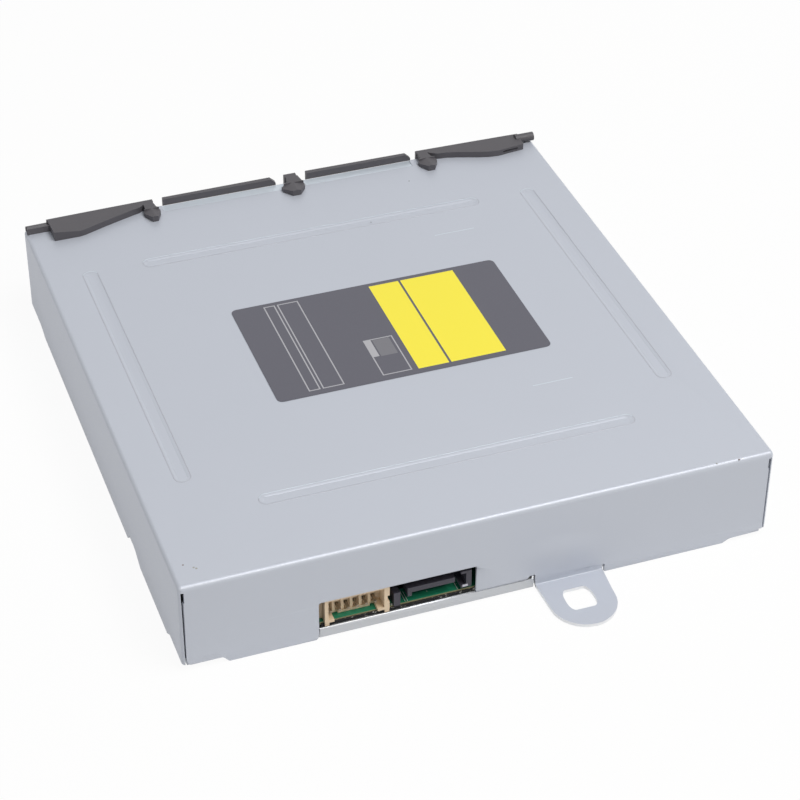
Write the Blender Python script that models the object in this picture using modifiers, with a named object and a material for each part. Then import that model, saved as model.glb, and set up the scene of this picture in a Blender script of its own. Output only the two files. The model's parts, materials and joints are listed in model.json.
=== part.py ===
"""Slot-loading disc drive of a game console.

A folded steel cover closes a pressed steel tray. A moulded bezel at the front holds the disc slot and snaps over
the cover. Inside are a roller loader, a tilting traverse with the spindle and the laser pickup, a disc clamp, and
a circuit board whose two connectors look out through the rear wall.

Sizes are in millimetres, and the helpers turn them to metres. The origin lies under the middle of the case, on the
surface it stands on. +Z is up, -Y is the front with the disc slot, +Y is the rear with the connectors.
"""

import math

import bmesh
import bpy
from mathutils import Matrix, Vector

MM = 0.001

# Case
CASE_WIDTH = 146.0
CASE_DEPTH = 152.6
CASE_HEIGHT = 24.9
SHEET = 0.8
BEND = 1.0
GAP = 0.3
SEAT = 0.1

# Lower edge of the cover: long deep stretches, with shallow ones at the corners and at one step
SIDE_FRONT_CUT = 1.3
SIDE_STEP_CUT = 2.3
SIDE_REAR_CUT = 1.8
REAR_CORNER_CUT = 1.6
EAR_NOTCH = 2.3
CLEAR = -0.4

# Pressed grooves in the cover's top
GROOVE_WIDTH = 3.8
GROOVE_FLOOR = 2.4
GROOVE_DEPTH = 0.35
SIDE_GROOVE_X = 61.4
SIDE_GROOVE_LENGTH = 92.1
FRONT_GROOVE_LENGTH = 94.0
REAR_GROOVE_LENGTH = 94.1

# Connector window in the rear wall, and the chassis strip under it
WINDOW_LEFT = 40.6
WINDOW_RIGHT = 2.1
WINDOW_TOP = 11.0
STRIP_RIGHT = -12.5
STRIP_TOP = 3.0

# Screw ear, bent out of the rear flange
EAR_LEFT = -12.8
EAR_WIDTH = 17.3
EAR_TIP_RADIUS = 8.3
EAR_REACH = 17.2
EAR_HOLE_WIDTH = 7.2
EAR_HOLE_DEPTH = 6.5
EAR_HOLE_CORNER = 1.9
EAR_HOLE_OUT = 8.15

# Bezel
BEZEL_INSET = 0.4
BEZEL_RISE = 1.8
BEZEL_WALL = 1.4
BEZEL_BOW = 0.9
PLUG_DEPTH = 1.9
SLOT_END = 10.6
SLOT_HEIGHT = 5.6
SLOT_MIDDLE = 13.8
FELT = 0.4

# Disc
DISC_RADIUS = 60.0
DISC_Y = 3.0
DISC_PATH = 12.9

# Loader
FRAME_PLATE = 1.0
ROLLER_RADIUS = 3.4
ROLLER_WAIST = 2.6
ROLLER_ROOM = 3.0
ROLLER_SETBACK = 12.3
SHAFT_RADIUS = 1.0
BUSH_RADIUS = 2.0
GEAR_MODULE = 0.6
GEAR_FACE = 2.0
GEAR_GAP = 0.4
MESH_PLAY = 0.12
ROLLER_TEETH = 16
IDLER_TEETH = 16
DRIVE_SMALL_TEETH = 14
LARGE_TEETH = 24
PINION_TEETH = 10
POST_RADIUS = 1.0
MOTOR_LENGTH = 16.0
MOTOR_WIDTH = 12.0
MOTOR_HEIGHT = 10.0

# Cam slide
SLIDE_THICKNESS = 3.0
SLIDE_X = 31.5
SLIDE_TRAVEL = 10.0
SLIDE_LOW = 6.5
SLIDE_HIGH = 11.6
CAM_PIN_RADIUS = 1.1
CAM_PLAY = 0.35

# Traverse, drawn level as it plays, and tilted down at rest
PIVOT_X = -66.0
PIVOT_Z = 4.5
TRAVERSE_LIFT = 2.9
RING_THICKNESS = 1.6
RING_LOW = 5.0
PLATE_THICKNESS = 1.0
PLATE_LOW = 8.0
DAMPER_RADIUS = 2.2
ROD_RADIUS = 1.0
ROD_Z = 11.0
ROD_SPREAD = 15.5
LENS_RADIUS_IN = 24.0
SLED_TRAVEL = 34.0
SCREW_RADIUS = 1.1
SCREW_Y = -19.0
SCREW_Z = 9.0

# Spindle and clamp
TABLE_SEAT = 13.8
TABLE_RADIUS = 14.5
HUB_RADIUS = 7.3
HUB_HEIGHT = 1.6
CLAMPER_LOW = 15.1
CLAMPER_RADIUS = 12.6
CLAMP_PLATE_LOW = 17.4

# Board and connectors
BOARD_THICKNESS = 0.8
BOARD_TOP = 4.0
BOARD_INSET = 1.3
BOARD_DEPTH = 25.0
BOARD_HOLE_X = (-30.6, 39.2)
BOARD_HOLE_INSET = 21.0
POWER_PINS = 6
PIN_PITCH = 2.18
PIN_SIZE = 0.6
POWER_PIN_Z = 6.0
POWER_LEFT = 40.2
POWER_RIGHT = 23.4
DATA_LEFT = 23.0
DATA_RIGHT = 3.1
SOCKET_TOP = 10.8

# Label
LABEL_X = (-40.0, 31.8)
LABEL_Y = (-22.0, 19.0)
LABEL_THICKNESS = 0.1
LABEL_CORNER = 1.5

# Worked out from the sizes above
HALF_WIDTH = CASE_WIDTH / 2
HALF_DEPTH = CASE_DEPTH / 2
INNER_X = HALF_WIDTH - SHEET
BEZEL_HALF = HALF_WIDTH - BEZEL_INSET
SLOT_WIDTH = 2 * (BEZEL_HALF - SLOT_END)
INNER_REAR = HALF_DEPTH - SHEET
CEILING = CASE_HEIGHT - SHEET
TRAY_X = INNER_X - GAP
TRAY_REAR = INNER_REAR - GAP
TRAY_FRONT = -HALF_DEPTH + 0.4
FRAME_LOW = SHEET + GAP
FRAME_TOP = FRAME_LOW + FRAME_PLATE
ROLLER_Y = -HALF_DEPTH + ROLLER_SETBACK
ROLLER_Z = DISC_PATH - 0.2 - ROLLER_RADIUS
BOARD_REAR = HALF_DEPTH - BOARD_INSET
BOARD_HOLES = [(x, BOARD_REAR - BOARD_HOLE_INSET) for x in BOARD_HOLE_X]
CARRIER_TOP = CEILING - GAP
REST_TILT = math.asin(TRAVERSE_LIFT / -PIVOT_X)

COLLECTIONS = {}
MATERIALS = {}


def linear(value):
    """One sRGB channel, 0 to 1, as linear light."""
    return value / 12.92 if value <= 0.04045 else ((value + 0.055) / 1.055) ** 2.4


def add_material(name, colour, roughness, metallic=0.0):
    material = bpy.data.materials.new(name)
    material.use_nodes = True
    shader = material.node_tree.nodes["Principled BSDF"]
    channels = [int(colour[i:i + 2], 16) / 255 for i in (0, 2, 4)]
    rgba = [linear(channel) for channel in channels] + [1.0]
    shader.inputs["Base Color"].default_value = rgba
    shader.inputs["Roughness"].default_value = roughness
    shader.inputs["Metallic"].default_value = metallic
    material.diffuse_color = rgba
    MATERIALS[name] = material


def finish(name, bm, at=(0.0, 0.0, 0.0), look=None):
    """Turn a bmesh in millimetres into an object. One without a look is a cutter or a shape to be joined."""
    bmesh.ops.scale(bm, vec=(MM, MM, MM), verts=bm.verts)
    mesh = bpy.data.meshes.new(name)
    bm.to_mesh(mesh)
    bm.free()
    thing = bpy.data.objects.new(name, mesh)
    thing.location = Vector(at) * MM
    if look is None:
        COLLECTIONS["cutters"].objects.link(thing)
        thing.hide_render = True
        thing.display_type = "WIRE"
    else:
        COLLECTIONS["parts"].objects.link(thing)
        mesh.materials.append(MATERIALS[look])
        mesh.shade_smooth()
        mesh.set_sharp_from_angle(angle=math.radians(35))
    return thing


def boolean(target, tool, operation):
    step = target.modifiers.new(tool.name, "BOOLEAN")
    step.operation = operation
    step.solver = "EXACT"
    step.object = tool
    tool.parent = target.parent
    tool.matrix_parent_inverse = target.matrix_parent_inverse
    return target


def cut(target, *tools):
    for tool in tools:
        boolean(target, tool, "DIFFERENCE")
    return target


def join(target, *pieces):
    for piece in pieces:
        boolean(target, piece, "UNION")
    return target


def span(a, b):
    return (min(a, b), max(a, b))


def box(name, x, y, z, look=None, corner=0.0, steps=3):
    """A block between two corners, with its origin at its middle. corner rounds its upright edges."""
    x, y, z = span(*x), span(*y), span(*z)
    bm = bmesh.new()
    bmesh.ops.create_cube(bm, size=1.0)
    bmesh.ops.scale(bm, vec=(x[1] - x[0], y[1] - y[0], z[1] - z[0]), verts=bm.verts)
    if corner:
        upright = [e for e in bm.edges if abs(e.verts[0].co.z - e.verts[1].co.z) > 1e-6]
        bmesh.ops.bevel(bm, geom=upright, offset=corner, segments=steps, profile=0.5, affect="EDGES", material=-1)
    return finish(name, bm, (sum(x) / 2, sum(y) / 2, sum(z) / 2), look)


AXIS_TURN = {
    "X": Matrix.Rotation(math.pi / 2, 4, "Y"),
    "Y": Matrix.Rotation(-math.pi / 2, 4, "X"),
    "Z": Matrix.Identity(4),
}


def rod(name, start, length, radius, axis="Z", look=None, segments=24, tip=None):
    """A cylinder from start along an axis. tip gives its far radius when it tapers."""
    bm = bmesh.new()
    bmesh.ops.create_cone(
        bm, cap_ends=True, segments=segments, radius1=radius,
        radius2=radius if tip is None else tip, depth=length,
    )
    bmesh.ops.translate(bm, vec=(0, 0, length / 2), verts=bm.verts)
    bmesh.ops.transform(bm, matrix=AXIS_TURN[axis], verts=bm.verts)
    return finish(name, bm, start, look)


def turned(name, profile, at, axis="Z", look=None, steps=32):
    """A turned piece. profile holds (radius, height) down its outer side, and back up its bore if it has one."""
    bm = bmesh.new()
    verts = [bm.verts.new((radius, 0, height)) for radius, height in profile]
    for first, second in zip(verts, verts[1:]):
        bm.edges.new((first, second))
    if profile[0][0] > 0:
        bm.edges.new((verts[-1], verts[0]))
    thing = finish(name, bm, at, look)
    thing.rotation_euler = AXIS_TURN[axis].to_euler()
    screw = thing.modifiers.new("turn", "SCREW")
    screw.axis = "Z"
    screw.steps = steps
    screw.render_steps = steps
    screw.use_merge_vertices = True
    screw.merge_threshold = 0.00001
    return thing


SLAB_PLACE = {
    "X": lambda u, v, w: (w, u, v),
    "Y": lambda u, v, w: (u, w, v),
    "Z": lambda u, v, w: (u, v, w),
}


def slab(name, outline, low, high, axis="Z", look=None, at=(0.0, 0.0, 0.0)):
    """A flat outline, extruded from low to high along an axis."""
    place = SLAB_PLACE[axis]
    bm = bmesh.new()
    face = bm.faces.new([bm.verts.new(place(u, v, low)) for u, v in outline])
    grown = bmesh.ops.extrude_face_region(bm, geom=[face])
    moved = [item for item in grown["geom"] if isinstance(item, bmesh.types.BMVert)]
    bmesh.ops.translate(bm, vec=place(0, 0, high - low), verts=moved)
    bmesh.ops.recalc_face_normals(bm, faces=bm.faces)
    return finish(name, bm, at, look)


def sloped(name, lower, upper, low, high):
    """A body between two level outlines of as many points."""
    bm = bmesh.new()
    floor = [bm.verts.new((x, y, low)) for x, y in lower]
    top = [bm.verts.new((x, y, high)) for x, y in upper]
    bm.faces.new(floor)
    bm.faces.new(top)
    for i in range(len(floor)):
        after = (i + 1) % len(floor)
        bm.faces.new((floor[i], floor[after], top[after], top[i]))
    bmesh.ops.recalc_face_normals(bm, faces=bm.faces)
    return finish(name, bm)


def arc(centre, radius, start, end, steps):
    """Points on an arc, angles in degrees."""
    points = []
    for i in range(steps + 1):
        angle = math.radians(start + (end - start) * i / steps)
        points.append((centre[0] + radius * math.cos(angle), centre[1] + radius * math.sin(angle)))
    return points


def stadium(start, end, width, steps=8):
    """The outline of a slot with round ends between two centres."""
    heading = math.degrees(math.atan2(end[1] - start[1], end[0] - start[0]))
    half = width / 2
    return arc(end, half, heading - 90, heading + 90, steps) + arc(start, half, heading + 90, heading + 270, steps)


def s_curve(start, end, steps=6):
    """A soft S between two levels, flat at both ends."""
    points = []
    for i in range(steps + 1):
        t = i / steps
        points.append((start[0] + (end[0] - start[0]) * t, start[1] + (end[1] - start[1]) * t * t * (3 - 2 * t)))
    return points


def hold(thing, parent):
    """Hang a piece on an empty, keeping its drawn place for when the empty is at its own drawn place."""
    thing.parent = parent
    thing.matrix_parent_inverse = Matrix.Translation(-Vector(parent.location))
    return thing


# Case


def cover_side_profile():
    """What is cut from under a side flange, as (y, z) along its lower edge from front to rear."""
    rear = HALF_DEPTH
    edge = [(-HALF_DEPTH - 1, SIDE_FRONT_CUT)]
    edge += s_curve((-HALF_DEPTH + 9.9, SIDE_FRONT_CUT), (-HALF_DEPTH + 18.5, CLEAR))
    edge += [(rear - 49.8, CLEAR), (rear - 47.4, SIDE_STEP_CUT)]
    edge += s_curve((rear - 43.5, SIDE_STEP_CUT), (rear - 35.9, CLEAR))
    edge += [(rear - 14.2, CLEAR), (rear - 11.0, SIDE_REAR_CUT), (rear + 1, SIDE_REAR_CUT)]
    return edge + [(rear + 1, -2.0), (-HALF_DEPTH - 1, -2.0)]


def cover_rear_profile():
    """What is cut from under the rear flange, with the connector window, as (x, z) from +X to -X."""
    right = -HALF_WIDTH
    ear_right = EAR_LEFT - EAR_WIDTH
    edge = [(HALF_WIDTH + 1, REAR_CORNER_CUT)]
    edge += s_curve((HALF_WIDTH - 9.2, REAR_CORNER_CUT), (HALF_WIDTH - 11.6, CLEAR))
    edge += [(WINDOW_LEFT + 1.3, CLEAR), (WINDOW_LEFT + 0.4, 0.2), (WINDOW_LEFT, 0.9)]
    edge += arc((WINDOW_LEFT - 0.6, WINDOW_TOP - 0.6), 0.6, 0, 90, 4)
    edge += [(WINDOW_RIGHT, WINDOW_TOP), (WINDOW_RIGHT, STRIP_TOP + 0.2), (STRIP_RIGHT + 2.0, STRIP_TOP + 0.2)]
    edge += [(STRIP_RIGHT + 1.0, STRIP_TOP + 1.1), (STRIP_RIGHT - 0.25, STRIP_TOP + 1.1)]
    edge += [(STRIP_RIGHT - 0.25, EAR_NOTCH), (ear_right - 0.5, EAR_NOTCH), (ear_right - 0.5, CLEAR)]
    edge += s_curve((right + 12.6, CLEAR), (right + 9.2, 1.0))
    edge += [(right - 1, 1.3)]
    return edge + [(right - 1, -2.0), (HALF_WIDTH + 1, -2.0)]


def screw_ear():
    """The ear's bent sheet, drawn as its section and cut to its outline seen from above."""
    wall = INNER_REAR + 0.04
    face = HALF_DEPTH - 0.04
    tip = HALF_DEPTH + EAR_REACH
    low, top = 0.2, SHEET + 0.2
    section = [(wall, 6.0), (wall, 1.6)]
    section += arc((wall + 1.4, 1.6), 1.4, 180, 270, 4)[1:]
    section += [(tip + 1, low), (tip + 1, top)]
    section += arc((face + 0.7, top + 0.7), 0.7, 270, 180, 4)
    section += [(face, 6.0)]
    right = EAR_LEFT - EAR_WIDTH
    ear = slab("ear_section", section, right - 1, EAR_LEFT + 1, "X")
    middle = EAR_LEFT - EAR_WIDTH / 2
    round_y = tip - EAR_TIP_RADIUS
    outline = [(EAR_LEFT, wall - 1)] + arc((middle, round_y), EAR_TIP_RADIUS, 0, 180, 16) + [(right, wall - 1)]
    boolean(ear, slab("ear_outline", outline, -1.0, 7.0), "INTERSECT")
    hole_x = (middle + 0.5 - EAR_HOLE_WIDTH / 2, middle + 0.5 + EAR_HOLE_WIDTH / 2)
    hole_y = HALF_DEPTH + EAR_HOLE_OUT
    hole_y = (hole_y - EAR_HOLE_DEPTH / 2, hole_y + EAR_HOLE_DEPTH / 2)
    return cut(ear, box("ear_hole", hole_x, hole_y, (-1.0, 3.0), corner=EAR_HOLE_CORNER, steps=6))


def groove(name, start, end, cover):
    """A pressed groove: a bump under the sheet, and the groove with sloping sides in its upper face."""
    low = CASE_HEIGHT - GROOVE_DEPTH
    bump = stadium(start, end, GROOVE_WIDTH)
    join(cover, slab(name + "_bump", bump, CEILING - GROOVE_DEPTH, low + 0.05))
    grow = (GROOVE_WIDTH - GROOVE_FLOOR) / (2 * GROOVE_DEPTH)
    above = 0.4
    floor = stadium(start, end, GROOVE_FLOOR)
    mouth = stadium(start, end, GROOVE_FLOOR + 2 * grow * (GROOVE_DEPTH + above))
    cut(cover, sloped(name + "_groove", floor, mouth, low, CASE_HEIGHT + above))


def top_cover():
    bm = bmesh.new()
    bmesh.ops.create_cube(bm, size=1.0)
    bmesh.ops.scale(bm, vec=(CASE_WIDTH, CASE_DEPTH, CASE_HEIGHT), verts=bm.verts)
    open_faces = [f for f in bm.faces if f.normal.z < -0.5 or f.normal.y < -0.5]
    bmesh.ops.delete(bm, geom=open_faces, context="FACES")
    bends = [e for e in bm.edges if len(e.link_faces) == 2]
    bmesh.ops.bevel(bm, geom=bends, offset=BEND, segments=3, profile=0.5, affect="EDGES", material=-1)
    cover = finish("top_cover", bm, (0, 0, CASE_HEIGHT / 2), "coated_steel")
    wall = cover.modifiers.new("sheet", "SOLIDIFY")
    wall.thickness = SHEET * MM
    wall.offset = -1.0
    wall.use_even_offset = True

    end = SIDE_GROOVE_LENGTH / 2 - GROOVE_WIDTH / 2
    middle = -5.4
    groove("left", (SIDE_GROOVE_X, middle - end), (SIDE_GROOVE_X, middle + end), cover)
    groove("right", (-SIDE_GROOVE_X, middle - end), (-SIDE_GROOVE_X, middle + end), cover)
    end = FRONT_GROOVE_LENGTH / 2 - GROOVE_WIDTH / 2
    front = -HALF_DEPTH + 26.0
    groove("front", (-end, front), (end, front), cover)
    end = REAR_GROOVE_LENGTH / 2 - GROOVE_WIDTH / 2
    rear = HALF_DEPTH - 23.3
    groove("rear", (-end, rear), (end, rear), cover)

    front = -HALF_DEPTH
    lip = [(front + 3.2, CASE_HEIGHT + 0.2), (front + 3.2, CASE_HEIGHT + 1), (front - 1, CASE_HEIGHT + 1)]
    lip += [(front - 1, CASE_HEIGHT - 0.15), (front + 2.9, CASE_HEIGHT - 0.15)]
    cut(cover, slab("front_lip", lip, -BEZEL_HALF + 36.2, BEZEL_HALF - 37.4, "X"))

    profile = cover_side_profile()
    cut(cover, slab("left_edge", profile, INNER_X - 1, HALF_WIDTH + 1, "X"))
    cut(cover, slab("right_edge", profile, -HALF_WIDTH - 1, -INNER_X + 1, "X"))
    cut(cover, slab("rear_edge", cover_rear_profile(), INNER_REAR - 0.4, HALF_DEPTH + 1, "Y"))
    join(cover, screw_ear())
    for side in (-1, 1):
        slit_x = span(side * (INNER_X - 0.2), side * (INNER_X + 0.12))
        slit = box(f"corner_slit_{side}", slit_x, (INNER_REAR - 0.6, HALF_DEPTH + 1), (-1, CASE_HEIGHT - 4.3))
        relief_x = span(side * (INNER_X - 0.5), side * (INNER_X + 0.2))
        relief_z = (CASE_HEIGHT - 4.7, CASE_HEIGHT - 1.7)
        relief = box(f"corner_relief_{side}", relief_x, (INNER_REAR - 0.7, HALF_DEPTH + 1), relief_z)
        cut(cover, slit, relief)
    return cover


FRONT_SCREW = (HALF_WIDTH - 21.0, -HALF_DEPTH + 7.3)
REAR_SCREW = (HALF_WIDTH - 11.0, HALF_DEPTH - 16.3)
SCREW_PLACES = [(side * x, y) for x, y in (FRONT_SCREW, REAR_SCREW) for side in (1, -1)]
DIMPLE_RADIUS = 3.4
DIMPLE_RISE = 1.1
SCREW_HEAD = 2.2
SCREW_SHANK = 1.0


def bottom_chassis():
    bm = bmesh.new()
    bmesh.ops.create_cube(bm, size=1.0)
    height = 7.0
    depth = TRAY_REAR - TRAY_FRONT
    bmesh.ops.scale(bm, vec=(2 * TRAY_X, depth, height), verts=bm.verts)
    open_faces = [f for f in bm.faces if f.normal.z > 0.5 or f.normal.y < -0.5]
    bmesh.ops.delete(bm, geom=open_faces, context="FACES")
    bends = [e for e in bm.edges if len(e.link_faces) == 2]
    bmesh.ops.bevel(bm, geom=bends, offset=BEND, segments=3, profile=0.5, affect="EDGES", material=-1)
    place = (0, (TRAY_REAR + TRAY_FRONT) / 2, height / 2)
    tray = finish("bottom_chassis", bm, place, "chassis_steel")
    wall = tray.modifiers.new("sheet", "SOLIDIFY")
    wall.thickness = SHEET * MM
    wall.offset = -1.0
    wall.use_even_offset = True

    strip_low = STRIP_RIGHT + 0.1
    strip_high = WINDOW_LEFT - 0.2
    outer = HALF_DEPTH - 0.05
    inner = outer - SHEET
    section = [(inner - 2.2, 0.0), (outer - 0.8, 0.0)]
    section += arc((outer - 0.8, 0.8), 0.8, -90, 0, 4)[1:]
    section += [(outer, STRIP_TOP), (inner, STRIP_TOP), (inner, SHEET), (inner - 2.2, SHEET)]
    trim_z = (STRIP_TOP - 0.1, height + 1)
    cut(tray, box("rear_trim", (-TRAY_X - 1, TRAY_X + 1), (TRAY_REAR - 2, HALF_DEPTH), trim_z))
    bend_x = (strip_low - 0.4, strip_high + 0.4)
    cut(tray, box("rear_bend", bend_x, (TRAY_REAR - 1.4, HALF_DEPTH), (-1, height + 1)))
    join(tray, slab("window_strip", section, strip_low, strip_high, "X"))
    end_y = (inner + 0.02, outer - 0.02)
    join(tray, box("strip_end", (strip_low + 0.02, strip_low + 0.5), end_y, (STRIP_TOP - 0.6, STRIP_TOP + 0.9)))
    for i, (x, y) in enumerate(BOARD_HOLES):
        post_top = BOARD_TOP - BOARD_THICKNESS - SEAT
        join(tray, rod(f"board_post_{i}", (x, y, SHEET / 2), post_top - SHEET / 2, 2.4, segments=20))
        join(tray, rod(f"board_stud_{i}", (x, y, SHEET), BOARD_TOP + 0.7 - SHEET, 1.3, segments=16))
    low_front = TRAY_FRONT + 8.0
    for side in (-1, 1):
        flank = span(side * (TRAY_X - 1.5), side * (TRAY_X + 1))
        cut(tray, box(f"front_trim_{side}", flank, (TRAY_FRONT - 1, low_front), (2.0, height + 1)))
    for i, (x, y) in enumerate(SCREW_PLACES):
        dimple = rod(f"dimple_{i}", (x, y, SHEET / 2), SHEET / 2 + DIMPLE_RISE, DIMPLE_RADIUS)
        pocket = rod(f"dimple_pocket_{i}", (x, y, -1), 1 + DIMPLE_RISE, DIMPLE_RADIUS - SHEET)
        hole = rod(f"screw_hole_{i}", (x, y, -1), 5, SCREW_SHANK + GAP)
        join(tray, dimple)
        cut(tray, pocket, hole)
    return tray


def screws():
    head_low = 0.15
    head_top = DIMPLE_RISE - GAP
    for i, (x, y) in enumerate(SCREW_PLACES):
        name = f"chassis_screw_{i + 1}"
        profile = [(0, 5.2), (SCREW_SHANK, 5.2), (SCREW_SHANK, head_top), (SCREW_HEAD, head_top)]
        profile += [(SCREW_HEAD, head_low + 0.3), (SCREW_HEAD - 0.5, head_low), (0, head_low)]
        turned(name, profile, (x, y, 0), look="bright_steel", steps=16)


def bezel_front(x):
    """The bezel's front face, slightly bowed."""
    return -HALF_DEPTH - SEAT - BEZEL_WALL + BEZEL_BOW * (x / BEZEL_HALF) ** 2


def bow(start, end, steps):
    return [(x, bezel_front(x)) for x in (start + (end - start) * i / steps for i in range(steps + 1))]


def hook(name, neck, centre, half):
    """A snap hook: a neck between two x, and a ridged arrow head that reaches half its width each way."""
    right, left = neck
    front = bezel_front(centre)
    head = -HALF_DEPTH + 3.4
    tip = -HALF_DEPTH + 7.2
    blunt = 0.35 * half
    outline = [(right + 0.6, front), (left, front), (left, head - 0.8), (centre + half, head)]
    outline += [(centre + half - 0.2, head + 1.2), (centre + blunt, tip), (centre - blunt, tip)]
    outline += [(centre - half + 0.2, head + 1.2), (centre - half, head), (right, head - 0.8)]
    top = CASE_HEIGHT + BEZEL_RISE
    piece = slab(name, outline, CASE_HEIGHT + SEAT, top)
    for side in (-1, 1):
        far = centre + side * (half + 1)
        slope = [(centre, top + 0.05), (far, top - 1.0), (far, top + 1), (centre, top + 1)]
        cut(piece, slab(f"{name}_slope_{side}", slope, head - 0.25, tip + 1, "Y"))
    return piece


def front_bezel():
    top = CASE_HEIGHT + BEZEL_RISE
    back = -HALF_DEPTH - SEAT
    low = 0.4
    outline = bow(-BEZEL_HALF, BEZEL_HALF, 16) + [(BEZEL_HALF, back), (-BEZEL_HALF, back)]
    bezel = slab("front_bezel", outline, low, top, look="black_plastic")
    plug_x = TRAY_X - SHEET - GAP
    plug = box("bezel_plug", (-plug_x, plug_x), (back - 0.3, back + PLUG_DEPTH), (FRAME_LOW, CEILING - GAP))
    join(bezel, plug)
    slot_low = SLOT_MIDDLE - SLOT_HEIGHT / 2
    slot_top = SLOT_MIDDLE + SLOT_HEIGHT / 2
    hollow_x = (-plug_x + BEZEL_WALL, plug_x - BEZEL_WALL)
    hollow_y = (back, back + PLUG_DEPTH + 1)
    cut(bezel, box("bezel_hollow", hollow_x, hollow_y, (FRAME_LOW + BEZEL_WALL, slot_low - 2.4)))
    cut(bezel, box("bezel_hollow_top", hollow_x, hollow_y, (slot_top + 2.4, CEILING - GAP - 1.8)))

    wing_low = CASE_HEIGHT + SEAT
    end = BEZEL_HALF
    front = -HALF_DEPTH
    left = bow(end - 6.0, end - 34.6, 4) + [(end - 31.0, front + 1.7), (end - 29.5, front + 2.1)]
    left += [(end - 20.9, front + 5.0), (end - 14.8, front + 7.3)]
    left += [(end - 13.2, front + 7.7), (end - 6.2, front + 7.7)]
    right = bow(33.6 - end, 4.6 - end, 4) + [(3.2 - end, front + 0.1), (3.8 - end, front + 5.1)]
    right += s_curve((11.6 - end, front + 6.1), (28.6 - end, front + 2.0), 6)
    join(bezel, slab("left_wing", left, wing_low, top), slab("right_wing", right, wing_low, top))
    join(bezel, hook("left_hook", (end - 35.4, end - 32.3), end - 34.0, 2.3))
    join(bezel, hook("centre_hook", (-4.0, -0.2), -1.3, 3.3))
    join(bezel, hook("right_hook", (30.6 - end, 33.8 - end), 32.0 - end, 2.7))
    recess_x = (5.6 - end, 10.2 - end)
    cut(bezel, box("wing_recess", recess_x, (front + 5.0, front + 7.3), (CASE_HEIGHT + 0.7, top - 0.6)))
    ledge_z = (wing_low, CASE_HEIGHT + 0.9)
    join(bezel, box("left_ledge", (end - 6.6, end - 0.4), (back - 0.4, back + 2.6), ledge_z))
    stub = (-0.6 - end, front + 1.2, CASE_HEIGHT + SEAT + 1.25)
    join(bezel, rod("right_stub", stub, 5.4, 1.25, "X", segments=16))

    notch_low = CASE_HEIGHT - 2.0
    notches = ((end - 38.0, end - 35.2), (0.0, 2.6), (-6.3, -3.4), (34.0 - end, 35.8 - end))
    for i, (a, b) in enumerate(notches):
        cut(bezel, box(f"bezel_notch_{i}", (a, b), (back - 4, back + 0.05), (notch_low, top + 1)))
    for i, x in enumerate((2.6, 35.8 - end)):
        corner = [(x - 0.3, top - 1.5), (x + 1.8, top + 0.4), (x - 0.3, top + 0.4)]
        cut(bezel, slab(f"bar_corner_{i}", corner, back - 4, back + 0.05, "Y"))
    for i, (a, b) in enumerate(((end - 5.8, end + 1), (-end - 1, 3.4 - end))):
        shoulder_z = (CASE_HEIGHT + 0.9 - 0.1 * i, top + 1)
        cut(bezel, box(f"bezel_shoulder_{i}", (a, b), (back - 4, back + 0.05), shoulder_z))
    half = SLOT_WIDTH / 2
    cut(bezel, box("disc_slot", (-half, half), (back - 5, back + PLUG_DEPTH + 1), (slot_low, slot_top)))
    return bezel


def felt_strips():
    half = SLOT_WIDTH / 2 - 1
    back = -HALF_DEPTH - SEAT
    y = (back + 0.2, back + PLUG_DEPTH - 0.1)
    slot_low = SLOT_MIDDLE - SLOT_HEIGHT / 2
    slot_top = slot_low + SLOT_HEIGHT
    box("felt_strip_lower", (-half, half), y, (slot_low + SEAT, slot_low + SEAT + FELT), "felt")
    box("felt_strip_upper", (-half, half), y, (slot_top - SEAT - FELT, slot_top - SEAT), "felt")


def top_label():
    z = CASE_HEIGHT + 0.02
    box("top_label", LABEL_X, LABEL_Y, (z, z + LABEL_THICKNESS), "label_film", corner=LABEL_CORNER)


# Board and connectors


def board_pieces():
    low = BOARD_TOP - BOARD_THICKNESS
    rear = BOARD_REAR
    front = rear - BOARD_DEPTH
    board = box("main_board", (-34.0, WINDOW_LEFT + 3), (front, rear), (low, BOARD_TOP), "board_green")
    for i, (x, y) in enumerate(BOARD_HOLES):
        cut(board, rod(f"board_hole_{i}", (x, y, low - 1), 3, 1.6))
    trim = STRIP_RIGHT + 0.7
    cut(board, box("board_trim", (-40, trim), (TRAY_REAR - SHEET - GAP, rear + 1), (low - 1, BOARD_TOP + 1)))
    cut(board, box("board_trim_left", (WINDOW_LEFT - 0.5, 50), (TRAY_REAR - SHEET - GAP, rear + 1), (low - 1, 5)))
    strip_y = (rear + 0.05, rear + 0.35)
    strip_z = (SHEET + GAP, BOARD_TOP - 0.4)
    box("insulation_strip", (STRIP_RIGHT + 1.1, WINDOW_LEFT - 0.8), strip_y, strip_z, "insulation")
    chip_low = BOARD_TOP + SEAT
    box("drive_chip", (4.0, 16.0), (front + 3.0, front + 12.0), (chip_low, chip_low + 1.0), "chip_black")
    box("motor_chip", (-20.0, -12.0), (front + 7.0, front + 15.0), (chip_low, chip_low + 0.9), "chip_black")


def pin_x(index):
    middle = (POWER_LEFT + POWER_RIGHT) / 2
    return middle + (index - (POWER_PINS - 1) / 2) * PIN_PITCH


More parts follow.
